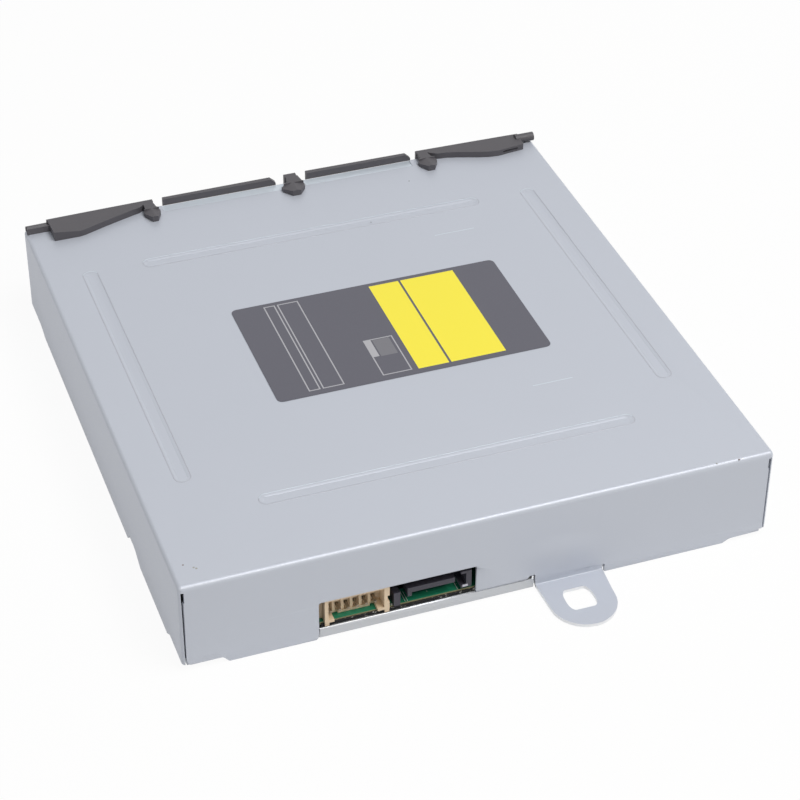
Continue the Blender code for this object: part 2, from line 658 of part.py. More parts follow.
def power_header():
    low = BOARD_TOP + SEAT
    mouth = HALF_DEPTH - 0.3
    y_back = mouth - 8.6
    cavity_back = mouth - 3.7
    floor = low + 0.7
    left = POWER_LEFT - 1.1
    body = box("power_header", (POWER_RIGHT, POWER_LEFT), (y_back, mouth), (low, SOCKET_TOP), "header_cream")
    cut(body, box("power_step", (left, POWER_LEFT + 1), (mouth - 2.2, mouth + 1), (low - 1, SOCKET_TOP + 1)))
    inner_x = (POWER_RIGHT + 1.3, left - 0.9)
    cut(body, box("power_cavity", inner_x, (cavity_back, mouth + 1), (floor, SOCKET_TOP - 0.4)))
    cut(body, box("power_floor_cut", (26.3, 36.8), (mouth - 2.5, mouth + 1), (low - 1, floor + 0.2)))
    for i, x in enumerate(((26.3, 27.4), (35.2, 36.8))):
        cut(body, box(f"power_notch_{i}", (x[0] - 0.02, x[1]), (mouth - 3.1, mouth - 2), (low - 1.1, floor + 0.3)))
    for i in range(POWER_PINS - 1):
        x = (pin_x(i) + pin_x(i + 1)) / 2
        rib_z = (low + 0.3, SOCKET_TOP - 0.2)
        rib = box(f"power_rib_{i}", (x - 0.35, x + 0.35), (cavity_back - 0.5, mouth - 2.8), rib_z)
        slope = [(cavity_back + 0.3, SOCKET_TOP), (mouth, SOCKET_TOP), (mouth, low), (mouth - 2.7, floor + 0.3)]
        cut(rib, slab(f"power_rib_slope_{i}", slope, x - 1, x + 1, "X"))
        join(body, rib)
    for i in range(POWER_PINS):
        x = pin_x(i)
        hole = PIN_SIZE / 2 + 0.2
        cut(body, box(f"power_hole_{i}", (x - hole, x + hole), (y_back - 1, cavity_back + 0.1),
                      (POWER_PIN_Z - hole, POWER_PIN_Z + hole)))
    ear_x = (POWER_RIGHT - 1, POWER_RIGHT + 0.5)
    cut(body, box("power_ear", ear_x, (mouth - 2.4, mouth + 1), (low + 2.2, low + 4.0)))
    for name, x in (("left", (left - 1.1, left - 0.05)), ("right", (POWER_RIGHT + 0.05, POWER_RIGHT + 1.2))):
        leg = box(f"power_leg_{name}", x, (BOARD_REAR + 0.45, mouth - 0.05), (STRIP_TOP + 0.2, floor - 0.1))
        join(body, leg)
    for i in range(POWER_PINS):
        x = pin_x(i)
        half = PIN_SIZE / 2
        box(f"power_pin_{i + 1}", (x - half, x + half), (y_back - 1.2, mouth - 1.3),
            (POWER_PIN_Z - half, POWER_PIN_Z + half), "pin_tin")


def data_header():
    low = BOARD_TOP + SEAT
    mouth = HALF_DEPTH - 0.5
    back = mouth - 9.2
    root = mouth - 5.4
    body = box("data_header", (DATA_RIGHT, DATA_LEFT), (back, root), (low, SOCKET_TOP - 0.2), "header_black")
    post = box("data_post", (DATA_LEFT - 2.3, DATA_LEFT - 0.7), (root - 1, mouth), (low + 0.05, 8.1))
    guide = box("data_guide", (DATA_RIGHT + 0.05, DATA_RIGHT + 2.7), (root - 1, mouth), (low + 0.9, 9.9))
    tongue = box("data_tongue", (DATA_RIGHT + 4.1, DATA_LEFT - 4.1), (root - 1, mouth - 0.2), (7.1, 8.5))
    leg = box("data_leg", (DATA_LEFT - 5.2, DATA_LEFT - 4.15), (root - 1, mouth - 0.25), (6.0, 7.6))
    join(body, post, guide, tongue, leg)
    cut(body, box("guide_groove", (DATA_RIGHT + 1.4, DATA_RIGHT + 3), (root + 0.6, mouth + 1), (low + 1.6, 9.2)))
    return body


# Loader


def gear_outline(teeth, phase, play=0.16):
    """A spur gear's outline with straight flanks. phase is a tooth's angle in degrees."""
    pitch_radius = GEAR_MODULE * teeth / 2
    tip = pitch_radius + GEAR_MODULE
    root = pitch_radius - 1.25 * GEAR_MODULE
    half = math.pi * GEAR_MODULE / 4 - play / 2
    slope = math.tan(math.radians(20))
    points = []
    for i in range(teeth):
        middle = math.radians(phase) + 2 * math.pi * i / teeth
        for radius, side in ((root, -1), (pitch_radius, -1), (tip, -1), (tip, 1), (pitch_radius, 1), (root, 1)):
            width = half - (radius - pitch_radius) * slope
            angle = middle + side * max(width, 0.12 * GEAR_MODULE) / radius
            points.append((radius * math.cos(angle), radius * math.sin(angle)))
    return points


def meshed_phase(phase, teeth, heading, other_teeth):
    """The phase of a gear that meshes with another, whose centre lies at heading from the first gear's."""
    pitch = 360 / teeth
    offset = (phase - heading) % pitch
    return heading + 180 - offset * teeth / other_teeth + 180 / other_teeth


def centre_distance(teeth, other_teeth):
    return GEAR_MODULE * (teeth + other_teeth) / 2 + MESH_PLAY


def beside(centre, distance, height):
    """The next axis towards the rear, at a distance and at a height."""
    rise = height - centre[1]
    return (centre[0] + math.sqrt(distance ** 2 - rise ** 2), height)


def heading(start, end):
    return math.degrees(math.atan2(end[1] - start[1], end[0] - start[0]))


ROLLER_AXIS = (ROLLER_Y, ROLLER_Z)
IDLER_AXIS = beside(ROLLER_AXIS, centre_distance(ROLLER_TEETH, IDLER_TEETH), ROLLER_Z)
DRIVE_AXIS = beside(IDLER_AXIS, centre_distance(IDLER_TEETH, DRIVE_SMALL_TEETH), ROLLER_Z + 1.5)
REDUCTION_AXIS = beside(DRIVE_AXIS, centre_distance(LARGE_TEETH, PINION_TEETH), ROLLER_Z + 2.7)
MOTOR_Z = FRAME_TOP + GAP + MOTOR_HEIGHT / 2
MOTOR_AXIS = beside(REDUCTION_AXIS, centre_distance(LARGE_TEETH, PINION_TEETH), MOTOR_Z)
LAYER_1 = INNER_X - 9.4
LAYER_2 = LAYER_1 + GEAR_FACE + GEAR_GAP
LAYER_3 = LAYER_2 + GEAR_FACE + GEAR_GAP
GEAR_WALL = LAYER_3 + GEAR_FACE + GAP
BEARING_X = LAYER_1 - 1.8
BEARING_WIDTH = 1.4


def gear(name, teeth, phase, low, high, axis, bore, look="gear_white"):
    piece = slab(name, gear_outline(teeth, phase), low, high, "X", look, (0, axis[0], axis[1]))
    if bore:
        cut(piece, rod(name + "_bore", (low - 1, axis[0], axis[1]), high - low + 8, bore, "X", segments=16))
    return piece


def gear_train():
    roller_phase = 0.0
    idler_phase = meshed_phase(roller_phase, ROLLER_TEETH, heading(ROLLER_AXIS, IDLER_AXIS), IDLER_TEETH)
    drive_phase = meshed_phase(idler_phase, IDLER_TEETH, heading(IDLER_AXIS, DRIVE_AXIS), DRIVE_SMALL_TEETH)
    large_phase = drive_phase
    to_reduction = heading(DRIVE_AXIS, REDUCTION_AXIS)
    reduction_phase = meshed_phase(large_phase, LARGE_TEETH, to_reduction, PINION_TEETH)
    to_motor = heading(REDUCTION_AXIS, MOTOR_AXIS)
    pinion_phase = meshed_phase(reduction_phase, LARGE_TEETH, to_motor, PINION_TEETH)

    bore = POST_RADIUS + GAP
    gear("roller_gear", ROLLER_TEETH, roller_phase, LAYER_1, LAYER_1 + GEAR_FACE, ROLLER_AXIS, SHAFT_RADIUS + SEAT)
    gear("idler_gear", IDLER_TEETH, idler_phase, LAYER_1, LAYER_1 + GEAR_FACE, IDLER_AXIS, bore)
    for name, small, teeth, large, low, axis in (
        ("drive_gear", drive_phase, DRIVE_SMALL_TEETH, large_phase, LAYER_1, DRIVE_AXIS),
        ("reduction_gear", reduction_phase, PINION_TEETH, reduction_phase, LAYER_2, REDUCTION_AXIS),
    ):
        middle = low + GEAR_FACE + GEAR_GAP
        place = (0, axis[0], axis[1])
        wheel = slab(name, gear_outline(LARGE_TEETH, large), middle, middle + GEAR_FACE, "X", "gear_white", place)
        join(wheel, slab(name + "_small", gear_outline(teeth, small), low, middle + 0.2, "X", at=place))
        cut(wheel, rod(name + "_bore", (low - 1, axis[0], axis[1]), 9, bore, "X", segments=16))
    shaft_radius = 0.75
    gear("motor_pinion", PINION_TEETH, pinion_phase, LAYER_3, LAYER_3 + GEAR_FACE, MOTOR_AXIS, shaft_radius + SEAT,
         "brass")
    motor_end = LAYER_1 - 3.8
    start = (motor_end - 1.5, MOTOR_AXIS[0], MOTOR_AXIS[1])
    rod("motor_shaft", start, LAYER_3 + GEAR_FACE - start[0], shaft_radius, "X", "bright_steel", 12)
    y = (MOTOR_AXIS[0] - MOTOR_WIDTH, MOTOR_AXIS[0] + MOTOR_WIDTH)
    z = (MOTOR_Z - MOTOR_HEIGHT / 2, MOTOR_Z + MOTOR_HEIGHT / 2)
    motor_start = (motor_end - MOTOR_LENGTH, MOTOR_AXIS[0], MOTOR_Z)
    motor = rod("motor_round", motor_start, MOTOR_LENGTH, MOTOR_WIDTH / 2, "X")
    can = box("loading_motor", (motor_end - MOTOR_LENGTH, motor_end), y, z, "motor_steel")
    boolean(can, motor, "INTERSECT")
    cut(can, rod("motor_bore", (motor_end - 2.2, MOTOR_AXIS[0], MOTOR_Z), 4, shaft_radius + GAP, "X", segments=12))


def loading_roller():
    half = BEARING_X - ROLLER_ROOM
    bore = SHAFT_RADIUS + SEAT
    place = (0, ROLLER_Y, ROLLER_Z)
    profile = [(bore, half), (ROLLER_RADIUS - 0.3, half), (ROLLER_RADIUS, half - 0.4), (ROLLER_WAIST, 2.0)]
    profile += [(ROLLER_WAIST, -2.0), (ROLLER_RADIUS, -half + 0.4), (ROLLER_RADIUS - 0.3, -half), (bore, -half)]
    turned("loading_roller", profile, place, "X", "roller_rubber", 24)
    left_end = LAYER_1 + GEAR_FACE + 0.2
    right_end = -BEARING_X - BEARING_WIDTH - 0.6
    rod("roller_shaft", (right_end, ROLLER_Y, ROLLER_Z), left_end - right_end, SHAFT_RADIUS, "X", "bright_steel", 16)
    for name, low in (("roller_bush_left", BEARING_X), ("roller_bush_right", -BEARING_X - BEARING_WIDTH)):
        inner = SHAFT_RADIUS + GAP
        profile = [(inner, BEARING_WIDTH), (BUSH_RADIUS, BEARING_WIDTH), (BUSH_RADIUS, 0), (inner, 0)]
        turned(name, profile, (low, ROLLER_Y, ROLLER_Z), "X", "bush_nylon", 16)


def loader_frame():
    low, top = FRAME_LOW, FRAME_TOP
    edge_x = TRAY_X - SHEET - GAP - 0.1
    front = -HALF_DEPTH + PLUG_DEPTH + 0.5
    frame = box("loader_frame", (-edge_x, edge_x), (front, HALF_DEPTH - 4.3), (low, top), "frame_plastic")
    board_left = WINDOW_LEFT + 5.4
    board_y = (BOARD_REAR - BOARD_DEPTH - 2.0, HALF_DEPTH + 3.7)
    cut(frame, box("board_bay", (-36.0, board_left), board_y, (low - 1, top + 1)))
    traverse_y = (DISC_Y - 36.0, DISC_Y + 36.0)
    cut(frame, box("traverse_bay", (PIVOT_X + 4.0, 22.5), traverse_y, (low - 1, top + 1), corner=3.0))

    wall_y = (ROLLER_Y - 6.0, ROLLER_Y + 44.0)
    wall = box("gear_wall", (GEAR_WALL, edge_x), wall_y, (low, CASE_HEIGHT - 4.7))
    join(frame, wall)
    for name, axis, start in (
        ("idler", IDLER_AXIS, LAYER_1 - 0.6),
        ("drive", DRIVE_AXIS, LAYER_1 - 0.6),
        ("reduction", REDUCTION_AXIS, LAYER_2 - 0.3),
    ):
        reach = GEAR_WALL + 0.2 - start
        join(frame, rod(name + "_post", (start, axis[0], axis[1]), reach, POST_RADIUS, "X", segments=16))
    for side, name in ((1, "left"), (-1, "right")):
        x = span(side * BEARING_X, side * (BEARING_X + BEARING_WIDTH))
        block = box(f"bearing_{name}", x, (ROLLER_Y - 3.2, ROLLER_Y + 3.2), (low, ROLLER_Z + 3.1))
        join(frame, block)
        hole = BUSH_RADIUS + SEAT
        cut(frame, rod(f"bearing_hole_{name}", (x[0] - 1, ROLLER_Y, ROLLER_Z), 4, hole, "X", segments=16))
    ring_half = 31.0
    for side, name in ((-1, "front"), (1, "rear")):
        y = span(DISC_Y + side * (ring_half + 0.5), DISC_Y + side * (ring_half + 3.8))
        block = box(f"pivot_block_{name}", (PIVOT_X - 3, PIVOT_X + 3), y, (low, PIVOT_Z + 2.6))
        join(frame, block)
        cut(frame, rod(f"pivot_hole_{name}", (PIVOT_X, y[0] - 1, PIVOT_Z), 6, PIN_TRUNNION + GAP, "Y", segments=16))
    for side in (-1, 1):
        x = SLIDE_X + side * (SLIDE_THICKNESS / 2 + GAP)
        rail = box(f"slide_rail_{side}", (x, x + side * 1.3), (SLIDE_FRONT + 4.0, -18.0), (low, 5.2))
        join(frame, rail)
        lever_x, lever_y = side * LEVER_PIVOT[0], LEVER_PIVOT[1]
        join(frame, rod(f"lever_post_{side}", (lever_x, lever_y, low), LEVER_LOW - GAP - low, 2.6))
        join(frame, rod(f"lever_pin_{side}", (lever_x, lever_y, low), LEVER_LOW + LEVER_THICKNESS + 0.6 - low, 1.5))
    for i, (x, y) in enumerate(SCREW_PLACES):
        join(frame, rod(f"screw_boss_{i}", (x, y, low), 4.1, 4.7))
        cut(frame, rod(f"boss_pocket_{i}", (x, y, low - 1), 1 + DIMPLE_RISE - low + SHEET / 2 + SHEET / 2 + GAP,
                       DIMPLE_RADIUS + GAP))
        cut(frame, rod(f"boss_hole_{i}", (x, y, low - 1), 7, SCREW_SHANK + GAP, segments=16))
    return frame


LEVER_PIVOT = (HALF_WIDTH - 23.0, HALF_DEPTH - 10.3)
LEVER_TIP = (LEVER_PIVOT[0] - 28.0, LEVER_PIVOT[1] - 12.0)
LEVER_LOW = 8.6
LEVER_THICKNESS = 1.5
PIN_TRUNNION = 1.2


def disc_levers():
    """Two centring levers behind the disc, with an upright pin at each tip."""
    for side, name in ((1, "left"), (-1, "right")):
        pivot = (side * LEVER_PIVOT[0], LEVER_PIVOT[1])
        tip = (side * (LEVER_TIP[0] - LEVER_PIVOT[0]), LEVER_TIP[1] - LEVER_PIVOT[1])
        arm = stadium((0, 0), tip, 4.6, 8)
        lever = slab(f"disc_lever_{name}", arm, LEVER_LOW, LEVER_LOW + LEVER_THICKNESS, "Z", "lever_plastic",
                     (pivot[0], pivot[1], 0))
        foot = (pivot[0] + tip[0], pivot[1] + tip[1], LEVER_LOW + 0.2)
        finger = rod(f"lever_finger_{name}", foot, 7.4, 1.6, tip=1.3)
        join(lever, finger)
        cut(lever, rod(f"lever_hole_{name}", (pivot[0], pivot[1], LEVER_LOW - 1), 4, 1.5 + GAP, segments=16))


def disc_guide():
    """The upper guide over the roller, with two ribs that meet the disc near its edges."""
    low = CLAMP_PLATE_LOW
    half = HALF_WIDTH - 11.0
    front = -HALF_DEPTH + 4.3
    places = [half - 2 * half * i / 12 for i in range(13)]
    rear = [(x, front + 28.0 - 6.0 * math.cos(math.pi * x / (2 * half))) for x in places]
    guide = slab("disc_guide", [(-half, front), (half, front)] + rear, low, low + 1.2, "Z", "frame_plastic")
    for side in (-1, 1):
        x = span(side * (half - 14.0), side * (half - 1.5))
        section = [(front + 1.0, low + 0.5), (front + 1.0, low - 1.2), (front + 5.0, DISC_PATH + 1.5)]
        section += [(front + 12.0, DISC_PATH + 1.5), (front + 23.0, low - 0.6), (front + 23.0, low + 0.5)]
        join(guide, slab(f"guide_rib_{side}", section, x[0], x[1], "X"))
        for i, y in enumerate((front + 4.0, front + 23.5)):
            foot = (side * (half - 6.5), y, low + 0.5)
            join(guide, rod(f"guide_post_{side}_{i}", foot, CARRIER_TOP - low - 0.5, 2.2))
    return guide


def cam_slide():
    """A flat bar on edge whose two slots lift the traverse's pins."""
    low = FRAME_TOP + GAP
    front, step, rear = SLIDE_FRONT, -15.0, 28.5
    outline = [(front, low), (rear, low), (rear, SLIDE_HIGH), (step + 3, SLIDE_HIGH), (step, SLIDE_LOW)]
    outline += [(front, SLIDE_LOW)]
    x = SLIDE_X - SLIDE_THICKNESS / 2
    slide = slab("cam_slide", outline, x, x + SLIDE_THICKNESS, "X", "slide_plastic")
    for i, y in enumerate(CAM_PIN_Y):
        start = (y, rest_height(SLIDE_X, CAM_PIN_Z))
        end = (y + SLIDE_TRAVEL, CAM_PIN_Z)
        slot = stadium(start, end, 2 * (CAM_PIN_RADIUS + CAM_PLAY), 8)
        cut(slide, slab(f"cam_slot_{i}", slot, x - 1, x + SLIDE_THICKNESS + 1, "X"))
    for i in range(10):
        y = front + 3.0 + i * GEAR_MODULE * math.pi
        tooth = [(y, SLIDE_LOW - 1.2), (y + 0.9, SLIDE_LOW - 1.2)]
        tooth += [(y + 1.3, SLIDE_LOW + 1), (y - 0.4, SLIDE_LOW + 1)]
        cut(slide, slab(f"rack_gap_{i}", tooth, x - 1, x + SLIDE_THICKNESS + 1, "X"))
    return slide


CAM_PIN_Y = (-10.0, 16.0)
CAM_PIN_Z = 9.0
SLIDE_FRONT = ROLLER_Y + 14.0


def rest_height(x, z):
    """The height that a point of the level traverse has when the traverse rests tilted down."""
    return PIVOT_Z + (z - PIVOT_Z) * math.cos(REST_TILT) - (x - PIVOT_X) * math.sin(REST_TILT)


# Traverse


def traverse_ring(parent):
    """The tilting plastic frame, with trunnions at one end and cam pins at the other."""
    half = 31.0
    y = (DISC_Y - half, DISC_Y + half)
    high = RING_LOW + RING_THICKNESS
    end = 20.0
    ring = hold(box("traverse_base", (-70.0, end), y, (RING_LOW, high), "base_plastic"), parent)
    cut(ring, box("ring_bay", (-66.6, end - 5.5), (y[0] + 4.2, y[1] - 4.2), (RING_LOW - 1, high + 1), corner=2.0))
    for side, name in ((-1, "front"), (1, "rear")):
        edge = DISC_Y + side * half
        lug_x = (PIVOT_X - 2.2, PIVOT_X + 2.2)
        lug = box(f"trunnion_lug_{name}", lug_x, (edge, edge - side * 3), (PIVOT_Z - 1.7, high))
        start = edge if side > 0 else edge - 3.6
        pin_start = (PIVOT_X, start - 0.5 * (side > 0), PIVOT_Z)
        pin = rod(f"trunnion_{name}", pin_start, 4.1, PIN_TRUNNION, "Y", segments=16)
        join(ring, lug, pin)
    for i, cam_y in enumerate(CAM_PIN_Y):
        lug = box(f"cam_lug_{i}", (end - 2.6, end), (cam_y - 2, cam_y + 2), (RING_LOW + 0.2, CAM_PIN_Z + 1.3))
        start = end - 0.5
        reach = SLIDE_X + SLIDE_THICKNESS / 2 + 0.7 - start
        pin = rod(f"cam_pin_{i}", (start, cam_y, CAM_PIN_Z), reach, CAM_PIN_RADIUS, "X", segments=16)
        join(ring, lug, pin)
    for i, (x, dy) in enumerate(DAMPER_PLACES):
        cut(ring, rod(f"damper_hole_{i}", (x, DISC_Y + dy, RING_LOW - 1), 4, 1.4, segments=16))
    return ring


DAMPER_PLACES = ((-50.0, -28.9), (-50.0, 28.9), (11.0, -28.9), (11.0, 28.9))


def dampers(parent):
    low = RING_LOW + RING_THICKNESS
    for i, (x, dy) in enumerate(DAMPER_PLACES):
        top = PLATE_LOW - SEAT * 2
        bottom = low + SEAT * 2
        profile = [(0, top), (DAMPER_RADIUS - 0.3, top), (DAMPER_RADIUS, top - 0.3), (DAMPER_RADIUS, bottom)]
        profile += [(1.1, bottom), (1.1, RING_LOW + 0.1), (0, RING_LOW + 0.1)]
        hold(turned(f"damper_{i + 1}", profile, (x, DISC_Y + dy, 0), look="roller_rubber", steps=16), parent)


def traverse_plate(parent):
    high = PLATE_LOW + PLATE_THICKNESS
    half = 30.6
    plate = hold(box("traverse_plate", (-68.0, 16.8), (DISC_Y - half, DISC_Y + half), (PLATE_LOW, high),
                     "plate_steel", corner=2.5), parent)
    bay_z = (PLATE_LOW - 1, high + 1)
    cut(plate, box("sled_bay", (PIVOT_X - 0.4, -13.0), (DISC_Y - 11.5, DISC_Y + 11.5), bay_z, corner=0.8))
    cut(plate, box("screw_bay", (PIVOT_X - 0.4, -6.0), (SCREW_Y - 4.9, SCREW_Y + 3.6), bay_z))
    cut(plate, rod("spindle_hole", (0, DISC_Y, PLATE_LOW - 1), 4, 4.0))
    for side, name in ((-1, "main"), (1, "sub")):
        y = DISC_Y + side * ROD_SPREAD
        for i, x in enumerate((-65.4, -10.2)):
            tab = box(f"rod_tab_{name}_{i}", (x, x + 1.2), (y - 1.9, y + 1.9), (PLATE_LOW + 0.2, ROD_Z + 1.5))
            join(plate, tab)
            cut(plate, rod(f"rod_hole_{name}_{i}", (x - 1, y, ROD_Z), 3.2, ROD_RADIUS + SEAT, "X", segments=16))
    return plate


def rods(parent):
    for side, name in ((-1, "main"), (1, "sub")):
        start = (-65.8, DISC_Y + side * ROD_SPREAD, ROD_Z)
        hold(rod(f"guide_rod_{name}", start, 57.2, ROD_RADIUS, "X", "bright_steel", 16), parent)


def spindle(parent):
    flange = PLATE_LOW - GAP
    low = RING_LOW + 0.2
    profile = [(1.8, flange), (13.5, flange), (13.5, flange - 0.8), (10.5, flange - 0.8), (10.5, low + 0.4)]
    profile += [(10.1, low), (1.8, low)]
    hold(turned("spindle_motor", profile, (0, DISC_Y, 0), look="motor_steel"), parent)
    seat = TABLE_SEAT
    top = seat + HUB_HEIGHT
    profile = [(0, top), (HUB_RADIUS - 1.9, top), (HUB_RADIUS, seat + 0.5), (HUB_RADIUS, seat - 0.3)]
    profile += [(HUB_RADIUS + 1.6, seat - 0.3), (HUB_RADIUS + 1.6, seat), (TABLE_RADIUS, seat)]
    profile += [(TABLE_RADIUS, seat - 1.0), (12.5, seat - 1.0), (12.5, PLATE_LOW + PLATE_THICKNESS + 0.9)]
    profile += [(1.5, PLATE_LOW + PLATE_THICKNESS + 0.9), (1.5, low + 0.6), (0, low + 0.6)]
    hold(turned("turntable", profile, (0, DISC_Y, 0), look="table_plastic"), parent)


def pickup(parent):
    lens_x = -LENS_RADIUS_IN
    block_low = PLATE_LOW + PLATE_THICKNESS + GAP
    top = ROD_Z + 1.6
    outer, inner = lens_x - 7.0, lens_x + 10.5
    body = hold(box("pickup_sled", (outer, inner), (DISC_Y - 11, DISC_Y + 11), (6.6, top), "sled_metal"), parent)
    lugs = box("sled_lugs", (outer + 3, inner - 1), (DISC_Y - 18.1, DISC_Y + 17.9), (block_low, top))
    join(body, lugs)
    cut(body, rod("sled_hollow", (0, DISC_Y, 5.0), 10, 15.0, segments=48))
    pocket = box("lens_pocket", (lens_x - 4.6, lens_x + 4.6), (DISC_Y - 4.6, DISC_Y + 4.6), (10.0, top + 1))
    cut(body, pocket)
    for side, name in ((-1, "main"), (1, "sub")):
        y = DISC_Y + side * ROD_SPREAD
        cut(body, rod(f"sled_bore_{name}", (outer - 2, y, ROD_Z), 24, ROD_RADIUS + 0.25, "X", segments=16))
    follower_y = (SCREW_Y - 2.2, DISC_Y - 18.1 - SEAT)
    follower_z = (SCREW_Z + SCREW_RADIUS + GAP, top - 0.4)
    hold(box("sled_follower", (lens_x - 3.5, lens_x + 2.0), follower_y, follower_z, "lever_plastic"), parent)
    half = 3.7
    holder = hold(box("lens_holder", (lens_x - half, lens_x + half), (DISC_Y - half, DISC_Y + half), (10.8, 12.8),
                      "chip_black", corner=0.8), parent)
    cut(holder, rod("lens_seat", (lens_x, DISC_Y, 11.9), 3, 2.1 + SEAT, segments=24))
    cut(holder, rod("lens_bore", (lens_x, DISC_Y, 10), 3, 1.5, segments=24))
    profile = [(0, 13.1), (0.8, 13.05), (1.5, 12.8), (2.1, 12.4), (2.1, 12.0), (0, 12.0)]
    hold(turned("objective_lens", profile, (lens_x, DISC_Y, 0), look="lens_glass", steps=24), parent)


def sled_drive(parent):
    high = PLATE_LOW + PLATE_THICKNESS
    y_out, y_in = SCREW_Y - 4.4, SCREW_Y + 3.2
    wall = 0.7
    base = 4.4
    section = [(y_in, base), (y_in, base + wall), (y_out + wall, base + wall), (y_out + wall, high + 0.2 + wall)]
    section += [(y_out - 3.4, high + 0.2 + wall), (y_out - 3.4, high + 0.2), (y_out, high + 0.2), (y_out, base)]
    bracket = hold(slab("sled_motor_bracket", section, -65.6, -8.4, "X", "plate_steel"), parent)
    for i, (x, hole) in enumerate(((-65.6, 0.8 + GAP), (-21.2, SCREW_RADIUS + GAP))):
        end = box(f"bracket_end_{i}", (x, x + wall), (y_out, y_in), (base + 0.1, SCREW_Z + 3.0))
        join(bracket, end)
        cut(bracket, rod(f"bracket_hole_{i}", (x - 1, SCREW_Y, SCREW_Z), 3, hole, "X", segments=16))
    motor_x = -20.2
    motor = hold(rod("sled_motor", (motor_x, SCREW_Y, SCREW_Z), 11.6, 3.2, "X", "motor_steel"), parent)
    cut(motor, rod("sled_motor_bore", (motor_x - 1, SCREW_Y, SCREW_Z), 3.4, SCREW_RADIUS + GAP, "X", segments=16))
    profile = [(0, 46.0), (SCREW_RADIUS, 46.0), (SCREW_RADIUS, 1.6), (0.8, 1.6), (0.8, 0), (0, 0)]
    hold(turned("lead_screw", profile, (-66.0, SCREW_Y, SCREW_Z), "X", "bright_steel", 16), parent)


# Clamp


def clamp_pieces():
    low = CLAMP_PLATE_LOW
    high = low + SHEET
    foot = HALF_WIDTH - 4.5
    section = [(-foot, CARRIER_TOP), (-foot, CARRIER_TOP - SHEET), (-foot + 3.2, CARRIER_TOP - SHEET)]
    section += [(-foot + 4.0, low), (foot - 4.0, low), (foot - 3.2, CARRIER_TOP - SHEET)]
    section += [(foot, CARRIER_TOP - SHEET), (foot, CARRIER_TOP), (foot - 4.0, CARRIER_TOP)]
    section += [(foot - 4.8, high), (-foot + 4.8, high), (-foot + 4.0, CARRIER_TOP)]
    bracket = slab("clamp_bracket", section, DISC_Y - 20, DISC_Y + 20, "Y", "plate_steel")
    cut(bracket, rod("clamp_hole", (0, DISC_Y, low - 1), 3, CLAMPER_RADIUS + 0.8, segments=32))
    top = high + GAP + 1.0
    recess = TABLE_SEAT + HUB_HEIGHT + 1.4
    seat = high + GAP
    profile = [(0, seat), (6.4, seat), (6.4, top), (17.0, top), (17.0, seat), (CLAMPER_RADIUS, seat)]
    profile += [(CLAMPER_RADIUS, CLAMPER_LOW), (HUB_RADIUS + 1.2, CLAMPER_LOW)]
    profile += [(HUB_RADIUS + 0.8, recess), (0, recess)]
    turned("clamper", profile, (0, DISC_Y, 0), look="lever_plastic")
    magnet_low = high + GAP + SEAT
    rod("clamp_magnet", (0, DISC_Y, magnet_low), 1.6, 6.2, look="plate_steel", segments=24)


def materials():
    add_material("coated_steel", "BFC4CF", 0.42, 0.55)
    add_material("chassis_steel", "B0B5BC", 0.4, 0.8)
    add_material("black_plastic", "5C5A60", 0.55)
    add_material("felt", "26262A", 0.95)
    add_material("label_film", "5B5B63", 0.5)
    add_material("board_green", "1F7A5E", 0.4)
    add_material("insulation", "1C1C1E", 0.8)
    add_material("chip_black", "222226", 0.45)
    add_material("header_cream", "D9C9AE", 0.5)
    add_material("pin_tin", "B9B4A4", 0.3, 0.9)
    add_material("header_black", "2A2A30", 0.45)
    add_material("frame_plastic", "2B2B2E", 0.5)
    add_material("gear_white", "E4E2DA", 0.4)
    add_material("brass", "C9A75A", 0.3, 1.0)
    add_material("bright_steel", "C8CBD0", 0.2, 1.0)
    add_material("motor_steel", "A9ACB2", 0.3, 0.9)
    add_material("roller_rubber", "1E1E20", 0.8)
    add_material("bush_nylon", "E9E6DC", 0.45)
    add_material("slide_plastic", "D8D6CE", 0.45)
    add_material("lever_plastic", "333338", 0.5)
    add_material("base_plastic", "38383D", 0.5)
    add_material("plate_steel", "B6BAC0", 0.35, 0.9)
    add_material("table_plastic", "303035", 0.45)
    add_material("sled_metal", "8F9298", 0.4, 0.7)
    add_material("lens_glass", "8FA6D8", 0.05)


def main():
    for thing in list(bpy.data.objects):
        bpy.data.objects.remove(thing, do_unlink=True)
    for key, name in (("parts", "disc_drive"), ("cutters", "disc_drive_cutters")):
        COLLECTIONS[key] = bpy.data.collections.new(name)
        bpy.context.scene.collection.children.link(COLLECTIONS[key])
    materials()

    top_cover()
    bottom_chassis()
    screws()
    front_bezel()
    felt_strips()
    top_label()
    board_pieces()
    power_header()
    data_header()
    loader_frame()
    loading_roller()
    gear_train()
    disc_guide()
    disc_levers()
    cam_slide()
    clamp_pieces()

    pivot = bpy.data.objects.new("traverse_pivot", None)
    pivot.location = Vector((PIVOT_X, DISC_Y, PIVOT_Z)) * MM
    COLLECTIONS["parts"].objects.link(pivot)
    traverse_ring(pivot)
    dampers(pivot)
    traverse_plate(pivot)
    rods(pivot)
    spindle(pivot)
    pickup(pivot)
    sled_drive(pivot)
    pivot.rotation_euler = (0, REST_TILT, 0)


main()
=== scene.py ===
"""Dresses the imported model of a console's slot-loading disc drive, and lights it on a pale floor."""

import json
import math

import bmesh
import bpy
from bpy.props import FloatProperty, FloatVectorProperty, PointerProperty
from mathutils import Matrix, Vector


